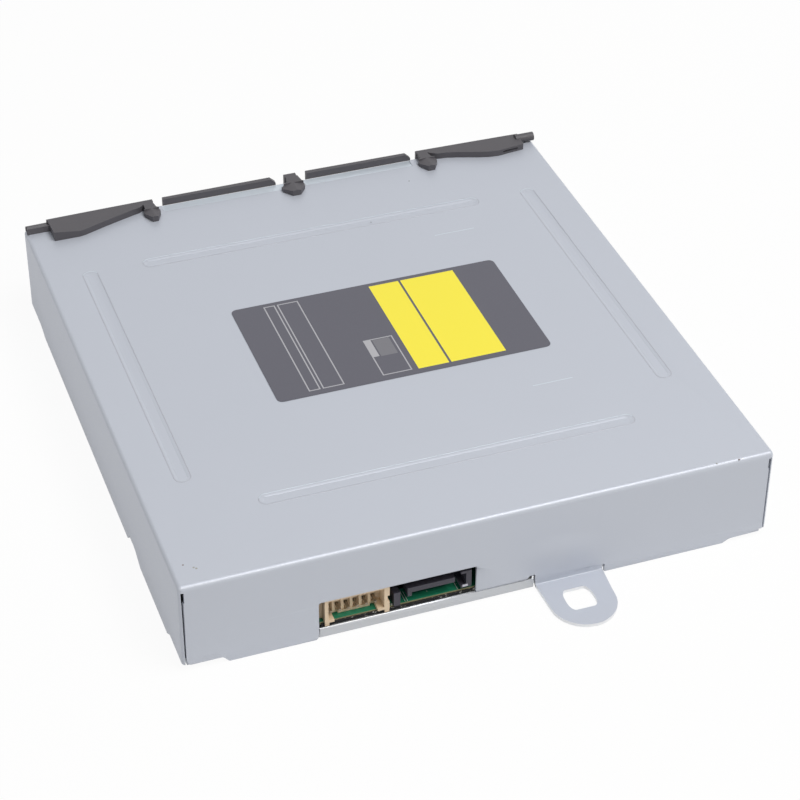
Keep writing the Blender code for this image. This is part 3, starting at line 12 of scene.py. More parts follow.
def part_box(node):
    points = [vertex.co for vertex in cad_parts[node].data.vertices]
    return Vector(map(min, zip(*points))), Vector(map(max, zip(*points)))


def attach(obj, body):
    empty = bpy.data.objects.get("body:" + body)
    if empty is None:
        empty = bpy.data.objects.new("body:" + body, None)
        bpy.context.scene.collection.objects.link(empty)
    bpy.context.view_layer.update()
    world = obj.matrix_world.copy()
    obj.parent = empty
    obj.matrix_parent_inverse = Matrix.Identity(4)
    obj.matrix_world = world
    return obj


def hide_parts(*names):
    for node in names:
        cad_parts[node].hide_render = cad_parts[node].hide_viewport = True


bl_info = {
    "name": "Console disc drive",
    "version": (1, 0, 0),
    "blender": (4, 5, 0),
    "location": "3D View > Sidebar > Disc Drive",
    "description": "Materials, label, bezel and studio for a slot-loading disc drive",
    "category": "Object",
}

MM = 0.001
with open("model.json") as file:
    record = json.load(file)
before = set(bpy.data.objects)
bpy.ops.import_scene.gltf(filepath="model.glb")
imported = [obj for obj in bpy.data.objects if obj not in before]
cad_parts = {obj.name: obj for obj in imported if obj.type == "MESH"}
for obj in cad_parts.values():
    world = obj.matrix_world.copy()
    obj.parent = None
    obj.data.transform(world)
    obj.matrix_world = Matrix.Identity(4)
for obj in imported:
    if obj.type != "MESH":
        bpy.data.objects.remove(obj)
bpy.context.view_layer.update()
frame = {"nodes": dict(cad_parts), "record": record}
BODY_OF = {node: body for body, nodes in frame["record"]["behaviour"]["bodies"].items() for node in nodes}
COVER_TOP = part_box("top_cover")[1].z / MM
BOARD_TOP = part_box("main_board")[1].z / MM
HEADER_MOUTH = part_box("data_header")[1].y / MM
# Where the outer face of the cover's rear wall lies
COVER_REAR = 76.3

# Places nearer than CLOSE are the same, and one within NEAR of an edge counts as on it, in millimetres
CLOSE = 0.01
NEAR = 0.1
# Corners nearer than this merge, and a cut this near to a corner runs through it
MERGE = 0.0005
# Faces within this angle of each other lie in one plane, in degrees
FLATNESS = 0.5
# A face whose normal has less of z than UPRIGHT stands upright, and one with more than FACING_UP faces up
UPRIGHT = 0.5
FACING_UP = 0.8

# The rear wall swells a little over the ear: middle, half widths and number of cuts, each in x and z
SWELLING_MIDDLE = (-18.8, 9.6)
SWELLING_HALF = (11.0, 5.8)
SWELLING_CUTS = (20, 14)
SWELLING_HEIGHT = 0.45

# The ear: its two sides, its root in y and z, the size of its bend, and the share of the bend that stays
EAR_LEFT = -12.8
EAR_RIGHT = -30.1
EAR_ROOT = (76.26, 1.0)
EAR_BEND = 0.7
EAR_BEND_SHARE = 0.25
# The share of its distance from the left side that the ear's right side keeps
EAR_NARROWING = 0.975
# The ear's hole: middle and half sizes in x and y, and how far it reaches towards the wall
EAR_HOLE_MIDDLE = (-20.95, 84.45)
EAR_HOLE_HALF = (3.6, 3.25)
EAR_HOLE_REACH = 0.75
# The hole's round sides: how far they fall back at their ends, how far the rim follows them, where they are
# cut, and the share of the hole's half width beyond which the rim belongs to them
EAR_HOLE_FALL = 0.85
EAR_HOLE_SHARE = 0.55
EAR_HOLE_CUTS = (-0.8, 0.0, 0.8)
EAR_HOLE_SIDE = 0.4

# The stepped lip along the cover's front edge, its depth under the top in the solid and once it is tilted,
# and how far the tilt moves each of its edges
LIP_X = (-36.4, 35.2)
LIP_REAR = -73.4
LIP_FRONT = -76.3
LIP_DEPTH = (0.1, 0.2)
LIP_DEPTH_TILTED = (0.02, 0.3)
LIP_TILT = 0.1
# The near-white strip of painted highlight along the lip's front, where its cut edge catches the light: in y
# from that front, and in z from the cover's top
FRONT_EDGE_Y = (0.02, 0.25)
FRONT_EDGE_Z = (-0.05, -0.02)

# The bezel's left end: both ends in x, how far its top rises, and how far that top moves to the front
BEZEL_END_X = (66.3, 72.8)
BEZEL_END_RISE = 0.75
BEZEL_END_LEAN = 0.3
# Corners behind this line, over this height above the cover, and this near to the outer end, belong to it
BEZEL_END_REAR = -74.0
BEZEL_END_TOP = 0.5
BEZEL_END_TIP = 1.0

# The outlines of the cover's four pressed grooves: middle, half length between the round ends, and direction
GROOVES = (
    ((61.4, -5.4), 44.15, "Y"), ((-61.4, -5.4), 44.15, "Y"),
    ((0.0, -50.3), 45.1, "X"), ((0.0, 53.0), 45.15, "X"),
)
GROOVE_RADIUS = 2.12
GROOVE_LINE_WIDTH = 0.24
GROOVE_LINE_THICKNESS = 0.008
GROOVE_LINE_LIFT = 0.012
# The share of the radius in front of which a groove's edge gets painted highlight instead of painted shade
GROOVE_BRIGHT_FROM = 0.3

# Two thin marks that the pieces inside have left in the cover's top: both ends in x, and y
WITNESS_LINES = (((-41.0, -29.8), -37.9), ((-39.6, -29.0), 33.0))
WITNESS_HALF_WIDTH = 0.12

# Marks on the cover: x, y, radius and look. All marks lie this far over the sheet, and are this thick
MARK_LIFT = 0.004
MARK_THICKNESS = 0.01
COVER_MARKS = (
    (-32.7, -66.0, 0.22, "dark_speck"), (-15.9, -49.7, 0.2, "dark_speck"), (69.7, 68.9, 0.22, "rust_speck"),
    (67.7, 70.5, 0.25, "faint_speck"), (67.2, 71.0, 0.28, "faint_speck"), (-63.9, 75.9, 0.26, "rust_speck"),
    (-58.2, 75.6, 0.2, "faint_speck"),
)

# Where the label and its printed fields lie, in millimetres on the cover's top
LABEL_X = (-40.0, 31.8)
LABEL_Y = (-22.0, 19.0)
LABEL_CORNER = 1.5
LABEL_THICKNESS = 0.1
LABEL_LIFT = 0.02
FIELD_Y = (-20.7, 17.2)
YELLOW_FIELDS = ((-28.3, -13.75), (-13.15, -5.1))
LINED_BOXES = ((20.4, 23.4), (14.2, 19.8))
LINE_WIDTH = 0.32
PICTURE_BOX = ((-3.5, 4.2), (1.6, 17.0))
PICTURE_PANE = ((-2.5, 1.9), (2.1, 9.2))
PICTURE_BAND = ((2.3, 3.9), (1.9, 9.0))

# White lines on the board: middle in x, and both ends in y. White spots: x, y and radius; the first, at the
# foot of the power header's post, is a painted highlight
BOARD_LINES = ((19.15, (71.0, 74.8)), (18.57, (71.4, 74.8)), (6.2, (71.1, 74.8)))
BOARD_LINE_HALF_WIDTH = 0.07
BOARD_LINE_THICKNESS = 0.03
BOARD_SPOTS = ((22.5, 74.6, 0.28), (13.2, 73.1, 0.12), (5.9, 73.0, 0.1))
BOARD_SPOT_THICKNESS = 0.06
BOARD_LIFT = 0.01
# The tinned tab beside the data header's tongue: in x, in y from the header's mouth, and in z
GUIDE_TAB_X = (4.1, 5.4)
GUIDE_TAB_Y = (0.01, 0.08)
GUIDE_TAB_Z = (5.3, 5.9)

# Camera, fitted to the photograph: it turns round a point over the middle of the base
CAMERA_AZIMUTH = 160.013
CAMERA_ELEVATION = 37.062
CAMERA_ROLL = 0.369
CAMERA_DISTANCE = 609.753
CAMERA_SLIDE = (6.015, -6.141)
CAMERA_AIM = (0.0, 0.0, 12.0)
CAMERA_LENS = 107.58
CAMERA_SENSOR = 36.0
CAMERA_CLIP = 0.01

WHITE = (1.0, 1.0, 1.0)
WARM_WHITE = (1.0, 0.93, 0.78)
# The lamps: name, size, share of the key light's power, place, aim and tint, in metres
LAMPS = (
    ("key_lamp", (0.6, 0.6), 1.0, (-0.42, 0.36, 1.2), (0, 0, 0), WHITE),
    ("rear_lamp", (0.6, 0.12), 0.26, (-0.25, 0.8, 0.9), (0, 0, 0.01), WARM_WHITE),
    ("side_lamp", (0.5, 0.5), 0.045, (1.0, 0.0, 0.9), (0, 0, 0.01), WHITE),
)
# The floor: its paint, how far it lies under the drive, in metres, and how much of it the eye sees as
# plain white
FLOOR_PAINT = (0.9, 0.9, 0.9, 1.0)
FLOOR_GAP = 0.00005
FLOOR_WHITE = 0.94

# Nearly all of a noise texture lies between these two values
NOISE_SPAN = (0.3, 0.7)
# How much of the noise's range a fleck's edge takes
FLECK_EDGE = 0.08

MATERIALS = {}


def linear(value):
    """One sRGB channel, 0 to 1, as linear light."""
    return value / 12.92 if value <= 0.04045 else ((value + 0.055) / 1.055) ** 2.4


def colour(code):
    """An sRGB hex code as linear RGBA."""
    return [linear(int(code[i:i + 2], 16) / 255) for i in (0, 2, 4)] + [1.0]


def shade(rgba, factor):
    return [channel * factor for channel in rgba[:3]] + [1.0]


def add(tree, kind, inputs=None, **settings):
    """Adds a node with its settings, its values and its links."""
    node = tree.nodes.new(kind)
    for key, value in settings.items():
        setattr(node, key, value)
    for key, value in (inputs or {}).items():
        if isinstance(value, bpy.types.NodeSocket):
            tree.links.new(value, node.inputs[key])
        else:
            node.inputs[key].default_value = value
    return node


def per_metre(size_mm):
    """A noise scale whose features measure size_mm."""
    return 1000.0 / size_mm


def new_look(name):
    """A new material's tree, its shader, and the place on the object that its textures follow."""
    material = bpy.data.materials.new(name)
    material.use_nodes = True
    MATERIALS[name] = material
    tree = material.node_tree
    return tree, tree.nodes["Principled BSDF"], add(tree, "ShaderNodeTexCoord").outputs["Object"]


def textured(tree, shader, texture, roughness, spread, height):
    """Lets a texture vary the gloss by a spread, and gives it a relief with a height in millimetres."""
    gloss = add(tree, "ShaderNodeMapRange", {
        "Value": texture, "From Min": NOISE_SPAN[0], "From Max": NOISE_SPAN[1],
        "To Min": roughness - spread, "To Max": roughness + spread,
    })
    tree.links.new(gloss.outputs["Result"], shader.inputs["Roughness"])
    bump = add(tree, "ShaderNodeBump", {"Height": texture, "Distance": height * MM, "Strength": 1.0})
    tree.links.new(bump.outputs["Normal"], shader.inputs["Normal"])


def surface(name, rgba, roughness, metallic=0.0, grain_mm=0.4, grain_height=0.003, patch_mm=30.0, patch=0.04,
            fleck=None, fleck_mm=0.4, fleck_from=0.6, **sockets):
    """A material with fine grain, soft patches of tone, a varied gloss and, if asked, pale flecks."""
    tree, shader, place = new_look(name)
    patches = add(tree, "ShaderNodeTexNoise", {"Vector": place, "Scale": per_metre(patch_mm), "Detail": 3.0})
    tone = add(tree, "ShaderNodeMix", {
        "Factor": patches.outputs["Fac"], "A": shade(rgba, 1 - patch), "B": shade(rgba, 1 + patch),
    }, data_type="RGBA")
    tone_colour = tone.outputs["Result"]
    if fleck:
        spots = add(tree, "ShaderNodeTexNoise", {"Vector": place, "Scale": per_metre(fleck_mm),
                                                 "Detail": 2.0})
        mask = add(tree, "ShaderNodeMapRange", {"Value": spots.outputs["Fac"], "From Min": fleck_from,
                                                "From Max": fleck_from + FLECK_EDGE})
        flecked = add(tree, "ShaderNodeMix", {"Factor": mask.outputs["Result"], "A": tone_colour, "B": fleck},
                      data_type="RGBA")
        tone_colour = flecked.outputs["Result"]
    tree.links.new(tone_colour, shader.inputs["Base Color"])
    grain = add(tree, "ShaderNodeTexNoise", {"Vector": place, "Scale": per_metre(grain_mm), "Detail": 2.0})
    textured(tree, shader, grain.outputs["Fac"], roughness, 0.05, grain_height)
    shader.inputs["Metallic"].default_value = metallic
    for key, value in sockets.items():
        shader.inputs[key.replace("_", " ")].default_value = value


def brushed(name, rgba, roughness):
    """Drawn or ground metal: fine lines along x, in its tone, its gloss and its relief."""
    tree, shader, place = new_look(name)
    along = add(tree, "ShaderNodeMapping", {"Vector": place, "Scale": (0.04, 1, 1)})
    lines = add(tree, "ShaderNodeTexNoise", {"Vector": along.outputs["Vector"], "Scale": per_metre(0.25),
                                             "Detail": 3.0})
    tone = add(tree, "ShaderNodeMix", {"Factor": lines.outputs["Fac"], "A": shade(rgba, 0.9),
                                       "B": shade(rgba, 1.08)}, data_type="RGBA")
    tree.links.new(tone.outputs["Result"], shader.inputs["Base Color"])
    textured(tree, shader, lines.outputs["Fac"], roughness, 0.07, 0.002)
    shader.inputs["Metallic"].default_value = 1.0


def board_laminate(name, rgba):
    """Epoxy laminate under green solder mask: copper tracks show faintly through the mask."""
    tree, shader, place = new_look(name)
    tracks = add(tree, "ShaderNodeTexBrick", {
        "Vector": place, "Scale": per_metre(1.0), "Brick Width": 7.0, "Row Height": 2.3,
        "Mortar Size": 0.16, "Mortar Smooth": 0.6,
        "Color1": shade(rgba, 1.0), "Color2": shade(rgba, 0.94), "Mortar": shade(rgba, 1.12),
    }, offset=0.37)
    tree.links.new(tracks.outputs["Color"], shader.inputs["Base Color"])
    bump = add(tree, "ShaderNodeBump", {"Height": tracks.outputs["Fac"], "Distance": 0.01 * MM})
    tree.links.new(bump.outputs["Normal"], shader.inputs["Normal"])
    shader.inputs["Roughness"].default_value = 0.42
    shader.inputs["Coat Weight"].default_value = 0.25


def make_materials():
    looks = bpy.context.scene.drive_looks
    cover = list(looks.cover_colour) + [1.0]
    # Galvanised sheet with a thin clear satin coat: even, fine-grained, with a soft cool sheen
    surface("coated_galvanised_sheet", cover, looks.cover_roughness, 0.2, grain_mm=0.35, grain_height=0.002,
            patch_mm=45.0, patch=0.015, Specular_IOR_Level=0.35)
    # The same sheet painted lighter, as painted highlight where it catches the light: on the tilted lip and
    # along the front of the grooves, and, lighter still, on the cut edges. The first also colours the pale
    # witness marks
    surface("painted_highlight_and_pale_marks", colour("D3DCE6"), 0.4, 0.2, grain_mm=0.35, grain_height=0.002, patch=0.01)
    surface("painted_edge_highlight", colour("EEF0F4"), 0.35, 0.3, grain_mm=0.35, grain_height=0.002, patch=0.01)
    # A little darker than the cover: painted shade along the sides and rear of the grooves
    surface("groove_painted_shade", colour("BABDC8"), 0.44, 0.2, grain_mm=0.35, grain_height=0.002, patch=0.02)
    # The tray's sheet, uncoated: a little glossier
    surface("galvanised_sheet", colour("C2C5CA"), 0.42, 0.5, grain_mm=0.5, grain_height=0.001, patch=0.03)
    # ABS with a moulded satin texture: dark grey, slightly lifted on its edges by the light
    surface("moulded_abs", list(looks.bezel_colour) + [1.0], 0.52, grain_mm=0.22, grain_height=0.012,
            patch=0.06)
    # Polyester sticker film, printed dark: a flat satin with no grain
    surface("printed_film", list(looks.label_colour) + [1.0], 0.46, grain_mm=0.3, grain_height=0.001,
            patch=0.03)
    surface("yellow_ink", list(looks.ink_colour) + [1.0], 0.45, grain_mm=0.3, grain_height=0.001, patch=0.01)
    surface("pale_ink", colour("B4B4BA"), 0.45, grain_mm=0.3, grain_height=0.001, patch=0.01)
    surface("grey_ink", colour("77777E"), 0.45, grain_mm=0.3, grain_height=0.001, patch=0.04)
    # Glass-filled nylon, moulded cream: dull, with faint mottling
    surface("cream_nylon", colour("DDC8AC"), 0.5, grain_mm=0.25, grain_height=0.006, patch_mm=3.0, patch=0.05)
    # Liquid-crystal polymer, black: dull and slightly streaky
    surface("black_polymer", colour("3A3843"), 0.5, grain_mm=0.2, grain_height=0.006, patch_mm=0.6,
            patch=0.15)
    # Pressed insulation sheet: black with pale flecks
    surface("insulation_sheet", colour("161618"), 0.8, grain_mm=0.3, grain_height=0.02, patch_mm=0.5,
            patch=0.4, fleck=colour("B8B8B2"), fleck_mm=0.7, fleck_from=0.6)
    # Bare edge of the glass-fibre laminate
    surface("laminate_core", colour("8C8868"), 0.6, grain_mm=0.3, grain_height=0.01, patch_mm=1.0, patch=0.35)
    surface("chip_resin", colour("232327"), 0.5, grain_mm=0.15, grain_height=0.004)
    # Glass-filled frame plastic: black and dull
    surface("frame_plastic", colour("2B2B2E"), 0.55, grain_mm=0.25, grain_height=0.01, patch=0.08)
    surface("dark_plastic", colour("36363B"), 0.5, grain_mm=0.2, grain_height=0.008, patch=0.06)
    # Acetal: white, smooth and waxy
    surface("white_acetal", colour("E4E2DA"), 0.35, grain_mm=0.5, grain_height=0.002, Subsurface_Weight=0.05)
    surface("natural_nylon", colour("E6E2D4"), 0.42, grain_mm=0.5, grain_height=0.003, Subsurface_Weight=0.05)
    # Soft rubber: black, with a dusty bloom
    surface("soft_rubber", colour("1F1F21"), 0.78, grain_mm=0.3, grain_height=0.01, patch=0.1)
    # Pressed wool felt: matt and fibrous
    surface("black_felt", colour("1D1D20"), 0.95, grain_mm=0.12, grain_height=0.06, Sheen_Weight=0.4)
    surface("tin_plate", colour("948878"), 0.42, 0.6, grain_mm=0.4, grain_height=0.002)
    surface("tinned_tab", colour("C4C5D2"), 0.4, grain_mm=0.4, grain_height=0.002)
    surface("plated_can", colour("B2B5BA"), 0.3, 0.95, grain_mm=0.6, grain_height=0.003, patch=0.05)
    surface("zinc_casting", colour("8F9298"), 0.45, 0.8, grain_mm=0.4, grain_height=0.02, patch=0.08)
    # White of the board's lines and spots, one spot being a painted highlight
    surface("board_white_and_painted_highlight", colour("E9ECEB"), 0.4, grain_mm=0.3, grain_height=0.004)
    surface("rust_speck", colour("8A7A76"), 0.7, grain_mm=0.1, grain_height=0.01, patch_mm=0.3, patch=0.3)
    surface("dark_speck", colour("7A7E86"), 0.6, grain_mm=0.1, grain_height=0.01, patch_mm=0.3, patch=0.3)
    surface("faint_speck", colour("A3A39E"), 0.6, grain_mm=0.1, grain_height=0.01, patch_mm=0.3, patch=0.2)
    brushed("ground_steel", colour("C8CBD0"), 0.22)
    brushed("turned_brass", colour("C9A75A"), 0.3)
    board_laminate("board_laminate", list(looks.board_colour) + [1.0])
    surface("coated_lens", colour("8FA6D8"), 0.08, grain_mm=1.0, grain_height=0.0, patch=0.02,
            Transmission_Weight=0.6)


def finished(piece, material, node=None, body=None):
    """Gives a finished piece its material, its body and its slot, and lets it stand for a node."""
    piece.data.materials.append(MATERIALS[material])
    if node:
        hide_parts(node)
    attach(piece, body or BODY_OF[node])
    return piece


def from_bmesh(name, bm, smooth_angle=35.0):
    """A bmesh in millimetres as an object at the origin."""
    bmesh.ops.scale(bm, vec=(MM, MM, MM), verts=bm.verts)
    mesh = bpy.data.meshes.new(name)
    bm.to_mesh(mesh)
    bm.free()
    mesh.shade_smooth()
    mesh.set_sharp_from_angle(angle=math.radians(smooth_angle))
    piece = bpy.data.objects.new(name, mesh)
    bpy.context.scene.collection.objects.link(piece)
    return piece


def refined(node, material, rounding=0.0, smooth_angle=35.0, shape=None):
    """A copy of a CAD node with merged corners, smooth bends and, if asked, rounded edges or a new shape."""
    bm = bmesh.new()
    bm.from_mesh(frame["nodes"][node].data)
    bmesh.ops.scale(bm, vec=(1 / MM, 1 / MM, 1 / MM), verts=bm.verts)
    bmesh.ops.remove_doubles(bm, verts=bm.verts, dist=MERGE)
    for face in bm.faces:
        face.material_index = 0
    if rounding:
        bmesh.ops.dissolve_limit(bm, angle_limit=math.radians(FLATNESS), verts=bm.verts, edges=bm.edges)
    if shape:
        shape(bm)
    piece = from_bmesh(node + "_finished", bm, smooth_angle)
    if rounding:
        edge = piece.modifiers.new("rounded edges", "BEVEL")
        edge.width = rounding * MM
        edge.segments = 2
        edge.limit_method = "ANGLE"
        edge.angle_limit = math.radians(smooth_angle)
        edge.use_clamp_overlap = True
    weighted = piece.modifiers.new("even shading", "WEIGHTED_NORMAL")
    weighted.keep_sharp = True
    return finished(piece, material, node)


def cut_across(bm, faces, axis, place):
    """Cuts faces along the plane where one coordinate has a value, and returns the faces that they become."""
    point = [0.0, 0.0, 0.0]
    normal = [0.0, 0.0, 0.0]
    point[axis] = place
    normal[axis] = 1.0
    edges = list(dict.fromkeys(edge for face in faces for edge in face.edges))
    verts = list(dict.fromkeys(vert for face in faces for vert in face.verts))
    cut = bmesh.ops.bisect_plane(bm, geom=faces + edges + verts, dist=MERGE, plane_co=point, plane_no=normal)
    return [item for item in cut["geom"] if isinstance(item, bmesh.types.BMFace)]


def swell_wall(bm):
    """Lets the outer face of the rear wall swell softly over the ear."""
    faces = [face for face in bm.faces if all(abs(vert.co.y - COVER_REAR) < CLOSE for vert in face.verts)]
    for axis, middle, half, steps in zip((0, 2), SWELLING_MIDDLE, SWELLING_HALF, SWELLING_CUTS):
        for i in range(steps + 1):
            faces = cut_across(bm, faces, axis, middle - half + 2 * half * i / steps)
    for vert in {vert for face in faces for vert in face.verts}:
        across = (vert.co.x - SWELLING_MIDDLE[0]) / SWELLING_HALF[0]
        up = (vert.co.z - SWELLING_MIDDLE[1]) / SWELLING_HALF[1]
        reach = across ** 2 + up ** 2
        if reach < 1:
            vert.co.y += SWELLING_HEIGHT * (1 - reach) ** 2


def ear_faces(bm):
    """All faces beyond the ear's bend."""
    return [face for face in bm.faces if face.calc_center_median().y > EAR_ROOT[0] + EAR_BEND]


def ready_ear(bm):
    """Cuts the sides of the ear's hole where they will bend, and makes the ear's flat sides whole again."""
    for step in EAR_HOLE_CUTS:
        cut_across(bm, ear_faces(bm), 1, EAR_HOLE_MIDDLE[1] + step)
    bm.normal_update()
    flat = [face for face in ear_faces(bm) if abs(face.normal.z) > FACING_UP]
    edges = dict.fromkeys(edge for face in flat for edge in face.edges)
    inner = [edge for edge in edges if all(face in flat for face in edge.link_faces)]
    bmesh.ops.dissolve_limit(bm, angle_limit=math.radians(FLATNESS), edges=inner, verts=[])


def round_hole_side(vert, along):
    """Moves a corner of the hole's rim towards the round side; along runs from -1 to 1 down that side."""
    hole_x = EAR_HOLE_MIDDLE[0]
    out = vert.co.x - hole_x
    on_rim = any(abs(face.normal.z) < UPRIGHT for face in vert.link_faces)
    if on_rim and abs(out) > EAR_HOLE_SIDE * EAR_HOLE_HALF[0]:
        reach = EAR_HOLE_HALF[0] - EAR_HOLE_FALL * along ** 2
        vert.co.x += EAR_HOLE_SHARE * (hole_x + math.copysign(reach, out) - vert.co.x)


def form_ear(bm):
    """Tightens the ear's bend, narrows the ear, and rounds its hole and draws it nearer to the wall."""
    ready_ear(bm)
    hole_x, hole_y = EAR_HOLE_MIDDLE
    half_x, half_y = EAR_HOLE_HALF
    root_y, root_z = EAR_ROOT
    for vert in bm.verts:
        place = vert.co
        if not (EAR_RIGHT - NEAR < place.x < EAR_LEFT + NEAR and place.y > root_y - CLOSE):
            continue
        out = place.y - root_y
        up = place.z - root_z
        if -CLOSE < up < EAR_BEND + CLOSE and out < EAR_BEND + CLOSE:
            place.y = root_y + EAR_BEND_SHARE * out
            place.z = root_z + EAR_BEND_SHARE * up
        elif abs(place.x - hole_x) < half_x + NEAR and abs(place.y - hole_y) < half_y + NEAR:
            along = (place.y - hole_y) / half_y
            round_hole_side(vert, along)
            place.y -= EAR_HOLE_REACH * max(0.0, -along)
        elif out > EAR_BEND + NEAR and place.x < hole_x - half_x:
            place.x = EAR_LEFT + (place.x - EAR_LEFT) * EAR_NARROWING


def tilt_lip(bm):
    """Lets the stepped lip at the front rise towards the cover's edge."""
    for vert in bm.verts:
        place = vert.co
        low = COVER_TOP - LIP_DEPTH[1] < place.z < COVER_TOP - LIP_DEPTH[0]
        if low and place.y < LIP_REAR + NEAR and LIP_X[0] - NEAR < place.x < LIP_X[1] + NEAR:
            place.z += 2 * LIP_TILT * (LIP_REAR - place.y) / (LIP_REAR - LIP_FRONT) - LIP_TILT


def shape_cover(bm):
    """The cover's softer forms: the swelling, the ear and the lip."""
    swell_wall(bm)
    form_ear(bm)
    tilt_lip(bm)


def raise_bezel_end(bm):
    """Gives the bezel's left end its tall rear face, with a top that falls away to the front."""
    for vert in bm.verts:
        place = vert.co
        if place.x > BEZEL_END_X[0] and place.y > BEZEL_END_REAR:
            if place.z > COVER_TOP + BEZEL_END_TOP:
                place.z += BEZEL_END_RISE
                place.y -= BEZEL_END_LEAN
            if place.x > BEZEL_END_X[1] - BEZEL_END_TIP:
                place.x = BEZEL_END_X[1]


def mark_faces(piece, material, chosen):
    """Gives the faces that a test chooses a second finish."""
    piece.data.materials.append(MATERIALS[material])
    index = len(piece.data.materials) - 1
    for face in piece.data.polygons:
        if chosen(face.center / MM, face.normal):
            face.material_index = index


def on_lip(centre, normal):
    low = LIP_DEPTH_TILTED[0] < COVER_TOP - centre.z < LIP_DEPTH_TILTED[1]
    return low and normal.z > FACING_UP and centre.y < LIP_REAR + NEAR


def on_cut_edge(centre, normal):
    return abs(normal.z) < UPRIGHT


def on_ear_edge(centre, normal):
    return on_cut_edge(centre, normal) and centre.y > EAR_ROOT[0] + EAR_BEND and centre.z < EAR_ROOT[1] + NEAR


def small_block(name, x, y, z, material):
    """A small block that rides with the case."""
    bm = bmesh.new()
    bmesh.ops.create_cube(bm, size=1.0)
    bmesh.ops.scale(bm, vec=(x[1] - x[0], y[1] - y[0], z[1] - z[0]), verts=bm.verts)
    bmesh.ops.translate(bm, vec=(sum(x) / 2, sum(y) / 2, sum(z) / 2), verts=bm.verts)
    finished(from_bmesh(name, bm), material, body="case")


def small_disc(name, at, radius, thickness, material):
    """A small flat disc that rides with the case."""
    bm = bmesh.new()
    bmesh.ops.create_cone(bm, cap_ends=True, segments=14, radius1=radius, radius2=radius * 0.8,
                          depth=thickness)
    bmesh.ops.translate(bm, vec=(at[0], at[1], at[2] + thickness / 2), verts=bm.verts)
    finished(from_bmesh(name, bm), material, body="case")


def thicken(piece, name, thickness):
    """Gives a flat piece a thickness below its face, in millimetres."""
    wall = piece.modifiers.new(name, "SOLIDIFY")
    wall.thickness = thickness * MM
    wall.offset = -1.0


def groove_outline(name, middle, half_length, direction):
    """A thin ring of painted light round a pressed groove: painted highlight along its front, and painted
    shade, a little darker than the cover, along its sides and its rear.
    """
    bm = bmesh.new()
    ring = bmesh.ops.create_circle(bm, cap_ends=True, segments=32, radius=GROOVE_RADIUS)["verts"]
    axis = "XY".index(direction)
    for vert in ring:
        vert.co[axis] += math.copysign(half_length, vert.co[axis] + MERGE)
    bmesh.ops.translate(bm, vec=(middle[0], middle[1], COVER_TOP + GROOVE_LINE_LIFT), verts=ring)
    outer = bm.faces[:]
    bmesh.ops.inset_region(bm, faces=outer, thickness=GROOVE_LINE_WIDTH, use_boundary=True)
    bmesh.ops.delete(bm, geom=outer, context="FACES_KEEP_BOUNDARY")
    for face in bm.faces:
        out = face.calc_center_median() - Vector((middle[0], middle[1], 0))
        out[axis] -= max(-half_length, min(half_length, out[axis]))
        face.material_index = 1 if out.y < -GROOVE_BRIGHT_FROM * GROOVE_RADIUS else 0
    piece = from_bmesh(name, bm)
    thicken(piece, "line", GROOVE_LINE_THICKNESS)
    finished(piece, "groove_painted_shade", body="case")
    piece.data.materials.append(MATERIALS["painted_highlight_and_pale_marks"])


def dress(material, *nodes):
    """Gives CAD nodes that keep their own shape a better material."""
    for node in nodes:
        for place in frame["nodes"][node].material_slots:
            place.material = MATERIALS[material]


def flat_patch(bm, x, y, z):
    """One rectangular face, facing up."""
    made = bmesh.ops.create_grid(bm, x_segments=1, y_segments=1, size=0.5)["verts"]
    bmesh.ops.scale(bm, vec=(x[1] - x[0], y[1] - y[0], 1), verts=made)
    bmesh.ops.translate(bm, vec=(sum(x) / 2, sum(y) / 2, z), verts=made)
    return made


def inside(point, x, y):
    return x[0] < point.x < x[1] and y[0] < point.y < y[1]


def outline_bands(x, y, width):
    """The four thin bands of a rectangle's outline."""
    inner_x = (x[0] + width, x[1] - width)
    return [
        (x, (y[0], y[0] + width)), (x, (y[1] - width, y[1])),
        ((x[0], inner_x[0]), y), ((inner_x[1], x[1]), y),
    ]


def printed_label():
    """The sticker: one film, cut along its printed fields so that each field has its own ink."""
    fields = [(x, FIELD_Y, "yellow_ink") for x in YELLOW_FIELDS]
    for x, y in [(x, FIELD_Y) for x in LINED_BOXES] + [PICTURE_BOX]:
        fields += [(*band, "pale_ink") for band in outline_bands(x, y, LINE_WIDTH)]
    fields += [(*PICTURE_PANE, "grey_ink"), (*PICTURE_BAND, "pale_ink")]
    inks = ["printed_film", "yellow_ink", "pale_ink", "grey_ink"]

    bm = bmesh.new()
    corners = flat_patch(bm, LABEL_X, LABEL_Y, COVER_TOP + LABEL_LIFT + LABEL_THICKNESS)
    bmesh.ops.bevel(bm, geom=corners, offset=LABEL_CORNER, segments=5, profile=0.5, affect="VERTICES",
                    material=-1)
    for x, y, _ in fields:
        for axis, places in ((0, x), (1, y)):
            for value in places:
                cut_across(bm, bm.faces[:], axis, value)
    for face in bm.faces:
        centre = face.calc_center_median()
        for x, y, ink in fields:
            if inside(centre, x, y):
                face.material_index = inks.index(ink)
    piece = from_bmesh("printed_label", bm)
    piece.data.shade_flat()
    thicken(piece, "film", LABEL_THICKNESS)
    finished(piece, "printed_film", "top_label")
    for ink in inks[1:]:
        piece.data.materials.append(MATERIALS[ink])


